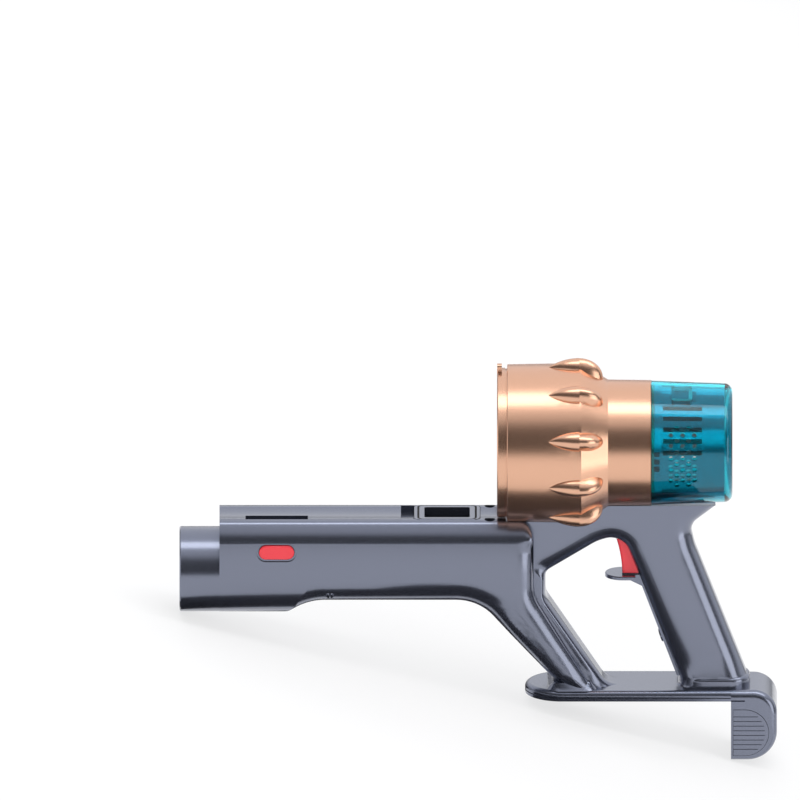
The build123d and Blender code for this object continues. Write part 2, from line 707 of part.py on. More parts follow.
def hood_solid():
    """The rounded hood behind each cone, dipping on to the rear cone."""
    ball = Sphere(1)
    reach = HOOD_END - SEAM
    drop = 14.0
    crest = CONE_LINE + CONE_RADIUS
    hood = scale(ball, by=(reach, CONE_RADIUS + 0.5, drop))
    hood = Pos(SEAM, 0, MOTOR_HEIGHT + crest - drop) * hood
    return hood & span((SEAM, -20, MOTOR_HEIGHT + 30), (SEAM + 30, 20, MOTOR_HEIGHT + 80))


def motor_barrel():
    """The big front barrel, with the pointed fronts of the cones on it."""
    wall = BARREL_WALL
    body = turned(
        (BARREL_FRONT, BARREL_RADIUS - wall),
        (BARREL_FRONT, BARREL_RADIUS - 0.4),
        (BARREL_FRONT + 0.4, BARREL_RADIUS),
        (SEAM, SEAM_RADIUS),
        (SEAM, SEAM_RADIUS - wall),
    )
    inside = rod(BARREL_FRONT - 5, SEAM + 5, SEAM_RADIUS - wall, MOTOR_HEIGHT)
    for cone in around(cone_solid() - inside, CONE_COUNT):
        body = body + cone
    return body


def motor_cowl():
    """The rear cone and neck over the motor, with the rounded hoods on it."""
    wall = BARREL_WALL
    body = turned(
        (SEAM, SEAM_RADIUS - wall),
        (SEAM, SEAM_RADIUS),
        (SEAM + 1.2, SEAM_RADIUS),
        (NECK_START, NECK_RADIUS),
        (CAP_START - 0.6, NECK_RADIUS - 0.4),
        (CAP_START - 0.6, NECK_RADIUS - 3.4),
        (CAP_START + 1.8, NECK_RADIUS - 3.4),
        (CAP_START + 1.8, NECK_RADIUS - 4.4),
        (NECK_START, NECK_RADIUS - 4.4),
        (SEAM + 2, SEAM_RADIUS - wall - 1.5),
    )
    inside = turned(
        (SEAM - 5, 0),
        (SEAM - 5, SEAM_RADIUS - wall),
        (SEAM + 2, SEAM_RADIUS - wall - 1.4),
        (NECK_START, NECK_RADIUS - 4.3),
        (CAP_START, NECK_RADIUS - 4.3),
        (CAP_START, 0),
    )
    for hood in around(hood_solid() - inside, CONE_COUNT):
        body = body + hood
    return body


def cap_seal():
    return turned(
        (CAP_START - 0.5, NECK_RADIUS - 3.3),
        (CAP_START - 0.5, NECK_RADIUS - 0.6),
        (CAP_START - 0.1, NECK_RADIUS - 0.6),
        (CAP_START - 0.1, NECK_RADIUS - 3.3),
    )


def vent_holes():
    """Staggered round vents, a patch on each side of the cap."""
    line = Axis((0, 0, MOTOR_HEIGHT), (1, 0, 0))
    holes = []
    for column in range(5):
        x = VENT_START + column * VENT_COLUMN
        shift = 0.0 if column % 2 else 0.5
        rows = 6 if column % 2 else 5
        hole = Pos(x, 0, MOTOR_HEIGHT + CAP_RADIUS) * Cylinder(VENT_RADIUS, 12)
        for row in range(rows):
            turn = VENT_LOW + VENT_TURN * (row + shift)
            for side in SIDES.values():
                holes.append(hole.rotate(line, side * (turn - 90)))
    return holes


def exhaust_cap():
    """The clear cap over the filter: a thin cup with a rounded rear edge."""
    wall = 2.0
    corner = 5.5
    face = Plane.XZ * make_face(
        [
            Line((CAP_START, 0), (CAP_START, CAP_RADIUS)).edge(),
            Line((CAP_START, CAP_RADIUS), (CAP_END - corner, CAP_END_RADIUS + 0.15)).edge(),
            ThreePointArc(
                (CAP_END - corner, CAP_END_RADIUS + 0.15),
                (CAP_END - corner * 0.29, CAP_END_RADIUS - corner * 0.29),
                (CAP_END, CAP_END_RADIUS - corner),
            ).edge(),
            Line((CAP_END, CAP_END_RADIUS - corner), (CAP_END, 0)).edge(),
            Line((CAP_END, 0), (CAP_START, 0)).edge(),
        ]
    )
    solid = Pos(0, 0, MOTOR_HEIGHT) * revolve(face, axis=Axis.X)
    inner = turned(
        (CAP_START - 1, 0),
        (CAP_START - 1, CAP_RADIUS - wall + 0.1),
        (CAP_END - corner, CAP_END_RADIUS - wall),
        (CAP_END - wall, CAP_END_RADIUS - corner),
        (CAP_END - wall, 0),
    )
    cap = solid - inner
    for hole in vent_holes():
        cap = cap - hole
    return cap


def filter_frame():
    """The cage that carries the filter, with five slots and a latch on each side, seen through the cap."""
    outer = CAGE_RADIUS
    end = CAGE_END
    cage = turned(
        (CAGE_START, outer - CAGE_WALL),
        (CAGE_START, outer + 1.8),
        (CAGE_STEP, outer + 1.8),
        (CAGE_STEP, outer),
        (end, outer - 1.4),
        (end, 10),
        (end - CAGE_WALL, 10),
        (end - CAGE_WALL, outer - 1.4 - CAGE_WALL),
    )
    line = Axis((0, 0, MOTOR_HEIGHT), (1, 0, 0))
    middle = CAGE_SLOT_START + CAGE_SLOT_LENGTH / 2
    slot = Pos(middle, 0, MOTOR_HEIGHT + outer) * Box(CAGE_SLOT_LENGTH, CAGE_SLOT_WIDTH, 8)
    latch = Pos(middle + 2, 0, MOTOR_HEIGHT + outer - 0.7) * (Box(14.3, 9.5, 2.4) - Box(11.7, 6.9, 3))
    for side in SIDES.values():
        for row in range(5):
            cage = cage - slot.rotate(line, side * (CAGE_SLOT_LOW + CAGE_SLOT_TURN * row - 90))
        cage = cage + latch.rotate(line, side * (CAGE_LATCH_TURN - 90))
    return cage


def exhaust_filter():
    """The pleated filter ring inside the cage, standing on the cage's end."""
    depth = 5.0
    points = []
    for i in range(2 * FILTER_PLEATS):
        radius = FILTER_RADIUS - depth * (i % 2)
        turn = pi * i / FILTER_PLEATS
        points.append((radius * cos(turn), radius * sin(turn)))
    ring = make_face(Polyline(*points, close=True).edges()) - Circle(FILTER_RADIUS - depth - 3)
    length = CAGE_END - CAGE_WALL - 0.1 - FILTER_START
    return Pos(FILTER_START, 0, MOTOR_HEIGHT) * extrude(Plane.YZ * ring, amount=length)


def bulkhead():
    """The wall across the barrel that carries the motor's front mount."""
    radius = min(BARREL_RADIUS, SEAM_RADIUS) - BARREL_WALL - 0.2
    plate = rod(BULKHEAD_FRONT, BULKHEAD_FRONT + BULKHEAD_THICK, radius, MOTOR_HEIGHT)
    plate = plate - rod(BULKHEAD_FRONT - 1, BULKHEAD_FRONT + BULKHEAD_THICK + 1, INTAKE_RADIUS, MOTOR_HEIGHT)
    lip = turned(
        (BULKHEAD_FRONT, INTAKE_RADIUS),
        (BULKHEAD_FRONT - 3, INTAKE_RADIUS + 1),
        (BULKHEAD_FRONT - 3, INTAKE_RADIUS + 3),
        (BULKHEAD_FRONT, INTAKE_RADIUS + 3),
    )
    return plate + lip


def intake_grille():
    """A round guard over the motor's intake: two rings on eight spokes."""
    x = BULKHEAD_FRONT + 0.4
    thick = 2.2
    grille = rod(x, x + thick, 5, MOTOR_HEIGHT)
    for outer in (14, INTAKE_RADIUS - FIT):
        grille += rod(x, x + thick, outer, MOTOR_HEIGHT) - rod(x - 1, x + thick + 1, outer - 1.8, MOTOR_HEIGHT)
    spoke = Pos(x + thick / 2, 0, MOTOR_HEIGHT + (INTAKE_RADIUS + 2) / 2) * Box(thick, 1.8, INTAKE_RADIUS - 4)
    for piece in around(spoke, 8):
        grille += piece
    return grille


def motor_pieces():
    """The motor: can, stator, shaft with rotor, impeller, two bearings and two rubber mounts."""
    wall = 1.6
    bearing = 7.0
    inside = MOTOR_RADIUS - wall
    start = MOTOR_FRONT

    def bar(low, high, radius):
        return rod(low, high, radius, MOTOR_HEIGHT)

    def block(x, radius, size):
        return Pos(x, 0, MOTOR_HEIGHT + radius) * Box(*size)

    can = bar(start, MOTOR_REAR, MOTOR_RADIUS) - bar(start + wall, MOTOR_REAR - wall, inside)
    can -= bar(start - 1, start + wall + 1, 14)
    can -= bar(MOTOR_REAR - wall - 1, MOTOR_REAR + 1, bearing + FIT)
    for piece in around(block(MOTOR_REAR, 20, (6, 6, 12)), 8):
        can -= piece
    bridge = bar(start + 14, start + 17, inside + 0.2) - bar(start + 13, start + 18, bearing + FIT)
    for piece in around(block(start + 15.5, 24, (6, 8, 8)), 8):
        bridge -= piece
    stator = bar(start + 20, MOTOR_REAR - 6, inside - FIT) - bar(start + 19, MOTOR_REAR - 5, 14)
    for piece in around(block((start + MOTOR_REAR + 14) / 2, 19, (MOTOR_LENGTH - 8, 5, 9)), 6):
        stator -= piece
    shaft = bar(start + 3, MOTOR_REAR + 2, SHAFT_RADIUS) + bar(start + 22, MOTOR_REAR - 8, 13)
    wheel = bar(start + 3, start + 11.5, 6) + bar(start + 10, start + 11.5, INTAKE_RADIUS + 2)
    blade = Pos(start + 6.8, 0, MOTOR_HEIGHT + 15.5) * Rot(0, 0, 20) * Box(6.4, 1.2, 20)
    for piece in around(blade, 9):
        wheel += piece
    hollow = bar(start, MOTOR_REAR + 1, SHAFT_RADIUS + BORE_GAP)
    front_mount = bar(BULKHEAD_FRONT + BULKHEAD_THICK, start + 6, MOTOR_RADIUS + 5)
    front_mount -= bar(start - BORE_GAP, start + 9, MOTOR_RADIUS + BORE_GAP)
    front_mount -= bar(BULKHEAD_FRONT, start + 1, INTAKE_RADIUS + 1)
    rear_mount = bar(MOTOR_REAR - 14, MOTOR_REAR - 8, NECK_RADIUS - 4.4 - FIT)
    rear_mount -= bar(MOTOR_REAR - 15, MOTOR_REAR - 7, MOTOR_RADIUS + BORE_GAP)
    for piece in around(block(MOTOR_REAR - 11, NECK_RADIUS - 6, (10, 9, 5)), 10):
        rear_mount -= piece
    return {
        "motor_can": can + bridge,
        "stator": stator,
        "rotor": shaft,
        "impeller": wheel - hollow,
        "front_bearing": bar(start + 13.8, start + 17.2, bearing) - hollow,
        "rear_bearing": bar(MOTOR_REAR - 3, MOTOR_REAR, bearing) - hollow,
        "front_motor_mount": front_mount,
        "rear_motor_mount": rear_mount,
    }


def trigger():
    """The red trigger, turning on a pin at its top."""
    blade = slab(trigger_outline(), TRIGGER_HALF_WIDTH)
    front = edges_where(
        blade,
        lambda edge, middle: middle.X < 301 and abs(abs(middle.Y) - TRIGGER_HALF_WIDTH) < 0.01,
    )
    blade = fillet(front, radius=2.0)
    pivot_x, pivot_z = TRIGGER_PIVOT
    hole = Pos(pivot_x, 0, pivot_z) * Cylinder(1.75, 40, rotation=(90, 0, 0))
    spring_well = Pos(TRIGGER_WELL_X, 0, TRIGGER_SPRING_Z) * Rot(0, 90, 0) * Cylinder(2.7, TRIGGER_WELL_DEPTH)
    return blade - hole - spring_well


def trigger_pin():
    pivot_x, pivot_z = TRIGGER_PIVOT
    return Pos(pivot_x, 0, pivot_z) * Cylinder(1.6, 18, rotation=(90, 0, 0))


def grip_strip():
    """The dark strip in the front of the grip, with the finger rest at its top."""
    strip = grip_strip_blank()
    rest_low = REST_TOP - REST_THICK
    centre = REST_FRONT + REST_HALF_WIDTH
    plan = Pos(centre, 0) * Circle(REST_HALF_WIDTH) + Pos((centre + 316) / 2, 0) * Rectangle(
        316 - centre, 2 * REST_HALF_WIDTH
    )
    rest = Pos(0, 0, rest_low) * extrude(plan, amount=REST_THICK)
    rest = fillet(rest.edges().group_by(Axis.Z)[-1], radius=0.8)
    rest = rest - span((310, -20, -20), (330, -7, 20)) - span((310, 7, -20), (330, 20, 20))
    gusset = slab(side_profile((300, rest_low, 0), (316, rest_low, 0), (318, rest_low - 9, 0)), 1.5)
    return strip + rest + gusset - plug(grow=0.1)


def switch_parts():
    """The trigger's switch in the grip, and the control board in the strut."""
    switch = span((326.5, -5.5, -13), (338, 5.5, 3))
    plunger = rod(324.6, 326.5, 1.6, 0)
    board = BOARD_PLACE * Box(53.8, 29.8, 1.6)
    for offset in (-16, 0, 16):
        board += BOARD_PLACE * Pos(offset, 4, 2.3) * Box(9, 11, 3)
    return {"trigger_switch": switch + plunger, "control_board": board}


def terminal_parts():
    """The socket in the heel's front that the battery plugs into, and its three blades."""
    z = BATTERY_BUTTON_MIDDLE
    end = HEEL_FRONT + TERMINAL_DEPTH
    block = span((HEEL_FRONT + 1, -12 + FIT, z - 7 + FIT), (end, 12 - FIT, z + 7 - FIT))
    block -= span((HEEL_FRONT, -10, z - 5), (end - 3, 10, z + 5))
    blades = [span((end - 8, y - 0.4, z - 3), (end - 3, y + 0.4, z + 3)) for y in (-6, 0, 6)]
    return {"terminal_block": block, "contact_blades": Compound(children=[Part() + blade for blade in blades])}


def plug(grow=0.0):
    """The round plug on the front of the grip."""
    slope = degrees(atan2(25.8, 75.3))
    z = -47.0
    x = 314.6 - 2.2 + (REST_TOP - REST_THICK - z) * 25.8 / (REST_TOP - REST_THICK - BASE_TOP - 6)
    disc = Cylinder(4.5 + grow, 2.6 + grow, rotation=(0, 90, 0))
    return Pos(x, 0, z) * Rot(0, -slope, 0) * disc


def build_level():
    """Every piece by name, level and in place."""
    pieces = {}
    pieces.update(casing())
    pieces["nose_collar"] = nose_collar()
    pieces["inlet_duct"] = inlet_duct()
    pieces.update(port_parts())
    pieces["top_saddle"] = top_saddle()
    pieces["dock_plate"] = dock_plate()
    pieces["heel_cover"] = heel_cover()
    for name, side in SIDES.items():
        pieces[f"battery_button_{name}"] = battery_button(side)
        pieces[f"battery_spring_{name}"] = battery_spring(side)
        pieces[f"wand_button_{name}"] = wand_button(side)
        pieces[f"wand_spring_{name}"] = wand_spring(side)
    pieces["front_ring"] = front_ring()
    pieces["motor_barrel"] = motor_barrel()
    pieces["motor_cowl"] = motor_cowl()
    pieces["cap_seal"] = cap_seal()
    pieces["exhaust_cap"] = exhaust_cap()
    pieces["filter_frame"] = filter_frame()
    pieces["exhaust_filter"] = exhaust_filter()
    pieces["bulkhead"] = bulkhead()
    pieces["intake_grille"] = intake_grille()
    pieces.update(motor_pieces())
    pieces["trigger"] = trigger()
    pieces["trigger_spring"] = trigger_spring()
    pieces["trigger_pin"] = trigger_pin()
    pieces["grip_strip"] = grip_strip()
    pieces["screw_plug"] = plug()
    pieces.update(switch_parts())
    pieces.update(terminal_parts())
    return pieces


def resting_place(pieces):
    """The turn and shift that stand the body on its nose and its heel, with the origin below its middle."""
    drop = -HEEL_BOTTOM - TUBE_RADIUS
    lean = Rot(0, -degrees(atan2(drop, HEEL_FRONT)), 0)
    corners = [(lean * piece).bounding_box() for piece in pieces.values()]
    front = min(box.min.X for box in corners)
    rear = max(box.max.X for box in corners)
    low = min(box.min.Z for box in corners)
    return Pos(-(front + rear) / 2, 0, -low) * lean


def main():
    os.makedirs("parts", exist_ok=True)
    pieces = build_level()
    place = resting_place(pieces)
    for name, piece in pieces.items():
        export_step(place * piece, f"parts/{name}.step")
    return pieces, place


if __name__ == "__main__":
    main()
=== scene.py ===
"""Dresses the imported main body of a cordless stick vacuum.

The moulded casing, the satin barrel, the clear exhaust cap and the red buttons get their finishes here. The
casing's roundings are redrawn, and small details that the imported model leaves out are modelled. Pieces are
drawn level, with the wand tube along X and its mouth at the origin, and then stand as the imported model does.
"""

import json
import math

import bmesh
import bpy
import numpy as np
from mathutils import Matrix, Vector


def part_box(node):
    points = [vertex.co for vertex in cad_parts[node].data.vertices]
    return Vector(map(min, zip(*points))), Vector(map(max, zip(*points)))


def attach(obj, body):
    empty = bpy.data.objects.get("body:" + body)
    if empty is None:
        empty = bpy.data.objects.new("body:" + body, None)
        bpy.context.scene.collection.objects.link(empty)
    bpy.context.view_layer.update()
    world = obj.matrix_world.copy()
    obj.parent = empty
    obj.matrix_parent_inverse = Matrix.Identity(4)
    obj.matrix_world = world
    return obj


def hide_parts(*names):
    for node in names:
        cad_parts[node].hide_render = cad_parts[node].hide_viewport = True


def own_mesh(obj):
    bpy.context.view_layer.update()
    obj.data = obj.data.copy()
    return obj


bl_info = {
    "name": "Stick Vacuum Main Body",
    "version": (1, 0, 0),
    "blender": (4, 5, 0),
    "location": "View3D > Sidebar > Vacuum Body",
    "description": "Models and finishes the main body of a cordless stick vacuum",
    "category": "Object",
}

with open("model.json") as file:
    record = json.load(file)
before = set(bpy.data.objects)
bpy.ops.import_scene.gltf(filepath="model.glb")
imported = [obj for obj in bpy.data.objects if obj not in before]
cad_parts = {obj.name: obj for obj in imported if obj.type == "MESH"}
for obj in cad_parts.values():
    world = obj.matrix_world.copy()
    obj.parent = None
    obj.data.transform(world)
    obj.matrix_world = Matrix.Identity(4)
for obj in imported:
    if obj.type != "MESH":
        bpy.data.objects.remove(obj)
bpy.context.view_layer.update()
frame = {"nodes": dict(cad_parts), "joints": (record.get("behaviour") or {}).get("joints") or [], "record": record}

MM = 0.001

# The motor line, level, in millimetres
MOTOR_X = 290.0
MOTOR_HEIGHT = 89.8

# Casing as packed, level, in millimetres: outlines as x, z and the corner's radius
WINDOW = (
    (248.9, -17.0, 12.0),
    (248.9, 1.0, 6.0),
    (284.0, 22.3, 30.0),
    (301.0, 27.5, 13.0),
    (316.5, -11.8, 60.0),
    (342.5, -80.0, 4.0),
    (291.0, -80.0, 13.0),
)
STRUT_REAR = ((241.0, 42.0, 0.0), (241.0, -14.0, 30.0), (283.0, -84.0, 0.0))
GRIP_REAR = ((397.5, -104.0, 0.0), (350.5, 18.0, 40.0), (347.0, 33.0, 0.0))
STRUT_UNDER = ((150.0, -17.8, 0.0), (203.0, -17.8, 34.0), (267.5, -90.0, 0.0))
FRAME_HALF_WIDTH = 16.0
TUBE_HALF_WIDTH = 29.0
STRUT_WAIST = 6.5
STRUT_HEIGHT = 86.0
WINDOW_ROUND = 9.0
GRIP_ROUND = 13.0
STRUT_ROUND = 5.0
UNDERSIDE_ROUND = 17.4

# How far the redrawn roundings reach in from each edge
STRUT_RIM_REACH = 3.5
ARCH_REACH = 14.0
GRIP_FRONT_REACH = 15.0
GRIP_REAR_REACH = 20.0
STRUT_REACH = 13.0
UNDERSIDE_REACH = 9.5
# share of its height at which the strut's rear edge starts
STRUT_EDGE_SHARE = 0.15
# how much the strut's window rim goes back for each millimetre down
STRUT_LEAN = 0.668

# Where each redrawn rounding fades in or out, from and to
BASE_FADE = (-78.0, -62.0)
UNDERSIDE_ALONG = (206.0, 228.0)
UNDERSIDE_LOW = (-80.0, -68.0)
UNDERSIDE_HIGH = (-20.0, -10.0)
ARCH_ALONG = (252.0, 276.0)
ARCH_UP = (-3.0, 8.0)
GRIP_FRONT_DEPTH = (-20.0, 0.0)
GRIP_ALONG = (300.0, 310.0)
GRIP_REAR_HIGH = (12.0, 34.0)
STRUT_END = 300.0
STRUT_LOW = (-80.0, -70.0)
STRUT_HIGH = (18.0, 30.0)

# The grip's swell towards the collar at its foot
COLLAR_STEP = 1.2
COLLAR_TOP = -73.0
COLLAR_SWELL = 16.0
COLLAR_ALONG = (330.0, 338.0)
COLLAR_OUT = (9.0, 15.5)
COLLAR_END = (16.2, 16.8)

# The tube's side, which leans in a little towards its shoulder
SIDE_SINK = 1.1
LEAN_START = 4.0
LEAN_RISE = 20.0
LEAN_MOST = 1.8
LEAN_OUT = (18.0, 28.0)
LEAN_END = (236.0, 246.0)

# The grid that the casing's side walls are cut to, and how they are bent, in millimetres
GRID = 2.0
CUT_HEIGHTS = (-84.0, 48.0)
CUT_LENGTHS = (215.0, 398.0)
ARC_POINTS = 13
SLOPE_STEP = 0.02
# least sideways part of a side wall's normal
WALL_FACING = 0.5
# points closer than this are joined, in metres
WELD = 1e-7
# least values, so that nothing is divided by zero
LEAST_SHARE = 1e-6
LEAST_STRETCH = 0.05

# Small pieces, level, in millimetres; their tops face up while they are modelled
SMOOTH_ANGLE = math.radians(35.0)
# least upward part of the normal of a top's face
UPWARDS = 0.9
TOP_SCREWS = ((211.0, -15.3, 36.4), (211.0, 15.3, 36.4))
SCREW_SIDES = 48
SCREW_EDGE = 0.35
SCREW_RIM = 0.9
SCREW_RECESS = 1.1
SCREW_LOBES = 6
LOBE_DEPTH = 0.16
CAGE_RADIUS = 37.9
CORNER_STEPS = 6
LATCH_X = 341.5
LATCH_ROUND = 3.0
LATCH_FRAME = 2.4
LATCH_RECESS = 0.9
LATCH_SUNK = 0.9
LATCH_TURN = 72.0
CLIP_X = 324.6
CLIP_ROUND = 0.8
CLIP_FRAME = 0.7
CLIP_RECESS = 0.4
CLIP_LIFT = 1.8
CLIP_TURNS = (-9.0, -1.5, 6.0)

# Surface patterns: millimetres from one crest to the next, as drawn
PAINT_FLAKE = 0.5
COAT_WAVE = 6.25
BLAST_GRAIN = 0.4
MOULD_GRAIN = 2.0 / 3.0
RUBBER_GRAIN = 10.0 / 9.0
TOOL_MARK = 10.0 / 9.0
FLOW_LINE = 100.0 / 17.0

# Frame of the photograph, level, in metres: a view with no perspective
VIEW_CENTRE = Vector((0.14994, 0.0, 0.12016))
VIEW_WIDTH = 0.544
VIEW_ELEVATION = math.radians(17.5)
VIEW_DISTANCE = 2.0

# Studio, in metres and watts; a fill lamp lights the body without showing in its gloss
LAMP_AIM = Vector((0.0, 0.0, 0.12))
LAMPS = (
    {"name": "top_softbox", "spot": (0.0, -0.15, 1.35), "size": (1.6, 0.45), "power": 5.6, "fill": False},
    {"name": "right_softbox", "spot": (1.1, -0.75, 0.45), "size": (0.8, 0.9), "power": 4.2, "fill": False},
    {"name": "front_fill", "spot": (-0.4, -1.5, 0.9), "size": (1.2, 1.2), "power": 11.0, "fill": True},
    {"name": "rear_fill", "spot": (-0.3, 1.5, 0.9), "size": (1.2, 1.2), "power": 10.0, "fill": True},
)
# dark sheets on the floor beside the body, seen only in its gloss: a painted dark reflection that stands in for
# the shaded floor under it; x, and the inner and outer edge's distance from its middle
DARK_REFLECTION_EDGES = ((-0.21, 0.012, 0.03), (-0.06, 0.012, 0.075), (-0.03, 0.012, 0.15), (0.175, 0.012, 0.15))
# sine of the angle over the horizon, and the sky's brightness there, in front of the body and behind it
FRONT_SKY = ((0.0, 0.2), (0.14, 0.06), (0.55, 0.1), (0.85, 0.85), (1.0, 1.0))
REAR_SKY = ((0.0, 0.25), (0.26, 0.95), (0.85, 1.0), (1.0, 1.0))
# from where to where a direction's Y turns the front sky to the rear one
SKY_TURN = (-0.2, 0.4)
SKY_TINT = (0.96, 0.97, 1.0)
FLOOR_SIZE = 30.0
FLOOR_HEIGHT = -0.0005
FLOOR_COLOUR = "#EFEFF0"
# share of the floor that glows white where the camera or a glossy piece sees it
FLOOR_GLOW = 0.7
# colour of the painted dark reflection beside the body
DARK_REFLECTION_COLOUR = "#303035"
LENS_DEPTH = (0.1, 60.0)


def level_place():
    """The turn and shift from the level drawing to the body as it stands, read from the motor's axis."""
    spin = next(j for j in frame["joints"] if j["name"] == "rotor_spin")
    along = Vector(spin["axis"]).normalized()
    across = Vector((0.0, 1.0, 0.0))
    turn = Matrix((along, across, along.cross(across))).transposed()
    origin = Vector(spin["pos_m"]) - turn @ Vector((MOTOR_X * MM, 0.0, MOTOR_HEIGHT * MM))
    return Matrix.Translation(origin) @ turn.to_4x4()


PLACE = level_place()


def linear(code):
    """A colour written as an sRGB hex value, in the linear values that shaders take."""
    parts = [int(code[i : i + 2], 16) / 255.0 for i in (1, 3, 5)]
    parts = [p / 12.92 if p <= 0.04045 else ((p + 0.055) / 1.055) ** 2.4 for p in parts]
    return (*parts, 1.0)


def per(size):
    """A pattern's scale from the millimetres between its crests."""
    return 1.0 / (size * MM)


def new_material(name):
    """An empty node material, its nodes, its output and the object's own coordinates."""
    material = bpy.data.materials.new(name)
    material.use_nodes = True
    tree = material.node_tree
    tree.nodes.clear()
    output = node(tree, "ShaderNodeOutputMaterial")
    place = node(tree, "ShaderNodeTexCoord").outputs["Object"]
    return material, tree, output, place


def node(tree, kind, settings=None, **links):
    """Adds a node: settings by attribute name, and inputs by socket name, from a value or a socket."""
    made = tree.nodes.new(kind)
    for key, value in (settings or {}).items():
        setattr(made, key, value)
    for key, value in links.items():
        socket = made.inputs[key.replace("_", " ")]
        if isinstance(value, bpy.types.NodeSocket):
            tree.links.new(value, socket)
        else:
            socket.default_value = value
    return made


def speckle(tree, place, colour, size, spread):
    """A colour that varies a little, lighter and darker, over a fine grain, and the grain itself."""
    grain = node(tree, "ShaderNodeTexNoise", Vector=place, Scale=per(size), Detail=2.0)
    shades = node(tree, "ShaderNodeValToRGB", Fac=grain.outputs["Fac"])
    low, high = shades.color_ramp.elements
    low.position, high.position = 0.3, 0.7
    low.color = [(1.0 - spread) * c for c in colour[:3]] + [1.0]
    high.color = [min(1.0, (1.0 + spread) * c) for c in colour[:3]] + [1.0]
    return shades.outputs["Color"], grain.outputs["Fac"]


def painted_abs(colour):
    """Moulded ABS sprayed with metallic paint under a clear coat.

    The paint gives soft metal bands, and the coat sharper lights on top of them.
    """
    material, tree, output, place = new_material("metallic_painted_abs")
    # paint flakes are about 0.05 mm, drawn ten times as coarse so that they show close up
    paint = speckle(tree, place, colour, PAINT_FLAKE, 0.02)[0]
    # the coat lies in slight waves
    waves = node(tree, "ShaderNodeTexNoise", Vector=place, Scale=per(COAT_WAVE), Detail=1.0)
    bump = node(tree, "ShaderNodeBump", Height=waves.outputs["Fac"], Strength=0.02, Distance=0.001)
    shader = node(
        tree,
        "ShaderNodeBsdfPrincipled",
        Base_Color=paint,
        Metallic=0.92,
        Roughness=0.24,
        Coat_Weight=0.5,
        Coat_Roughness=0.06,
        Normal=bump.outputs["Normal"],
    )
    tree.links.new(shader.outputs["BSDF"], output.inputs["Surface"])
    return material


def satin_rose_gold(colour):
    """Bead-blasted aluminium, anodised rose gold: a broad satin light with a fine grain."""
    material, tree, output, place = new_material("rose_gold_anodised_aluminium")
    # blasted grain is about 0.1 mm, drawn four times as coarse so that it shows close up
    finish, grain = speckle(tree, place, colour, BLAST_GRAIN, 0.03)
    bump = node(tree, "ShaderNodeBump", Height=grain, Strength=0.03, Distance=0.0003)
    shader = node(
        tree,
        "ShaderNodeBsdfPrincipled",
        Base_Color=finish,
        Metallic=0.96,
        Roughness=0.26,
        Normal=bump.outputs["Normal"],
    )
    tree.links.new(shader.outputs["BSDF"], output.inputs["Surface"])
    return material


def moulded_plastic(name, colour, roughness, grain=MOULD_GRAIN, depth=0.04, coat=0.0):
    """Moulded plastic: one colour, broken a little by the fine grain of its mould."""
    material, tree, output, place = new_material(name)
    # the grain is about 0.1 mm, drawn far coarser so that it shows close up
    finish, height = speckle(tree, place, colour, grain, 0.07)
    bump = node(tree, "ShaderNodeBump", Height=height, Strength=depth, Distance=0.0003)
    shader = node(
        tree,
        "ShaderNodeBsdfPrincipled",
        Base_Color=finish,
        Roughness=roughness,
        Coat_Weight=coat,
        Normal=bump.outputs["Normal"],
    )
    tree.links.new(shader.outputs["BSDF"], output.inputs["Surface"])
    return material


def clear_teal(tint):
    """Tinted polycarbonate, moulded and polished: clear, so that the silver inside takes its colour."""
    material, tree, output, place = new_material("tinted_polycarbonate")
    # faint flow lines of the moulding
    flow = node(tree, "ShaderNodeTexNoise", Vector=place, Scale=per(FLOW_LINE), Detail=1.0)
    bump = node(tree, "ShaderNodeBump", Height=flow.outputs["Fac"], Strength=0.02, Distance=0.0006)
    shader = node(
        tree,
        "ShaderNodeBsdfPrincipled",
        Base_Color=tint,
        Roughness=0.03,
        IOR=1.45,
        Transmission_Weight=1.0,
        Normal=bump.outputs["Normal"],
    )
    tree.links.new(shader.outputs["BSDF"], output.inputs["Surface"])
    return material


def metal(name, colour, roughness):
    """Metal, bare or thinly coated, with faint tool marks."""
    material, tree, output, place = new_material(name)
    # tool marks are about 0.2 mm apart, drawn far coarser so that they show close up
    finish = speckle(tree, place, colour, TOOL_MARK, 0.06)[0]
    shader = node(tree, "ShaderNodeBsdfPrincipled", Base_Color=finish, Metallic=1.0, Roughness=roughness)
    tree.links.new(shader.outputs["BSDF"], output.inputs["Surface"])
    return material


def finish_nodes(material, *names):
    """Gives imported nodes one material."""
    for name in names:
        piece = frame["nodes"][name]
        piece.data.materials.clear()
        piece.data.materials.append(material)


def select_faces(piece, pick):
    """Opens a mesh for editing with only the faces that a test picks selected."""
    if bpy.context.mode != "OBJECT":
        bpy.ops.object.mode_set(mode="OBJECT")
    bpy.ops.object.select_all(action="DESELECT")
    piece.select_set(True)
    bpy.context.view_layer.objects.active = piece
    bpy.ops.object.mode_set(mode="EDIT")
    bpy.ops.mesh.select_mode(type="FACE")
    bpy.ops.mesh.select_all(action="DESELECT")
    bpy.ops.object.mode_set(mode="OBJECT")
    for face in piece.data.polygons:
        face.select = pick(face)
    bpy.ops.object.mode_set(mode="EDIT")


def faces_up(face):
    """Whether a face is part of a piece's top."""
    return face.normal.z > UPWARDS


def push_down(depth):
    """Extrudes the selected faces down into a piece."""
    bpy.ops.mesh.extrude_region_move(TRANSFORM_OT_translate={"value": (0.0, 0.0, -depth)})


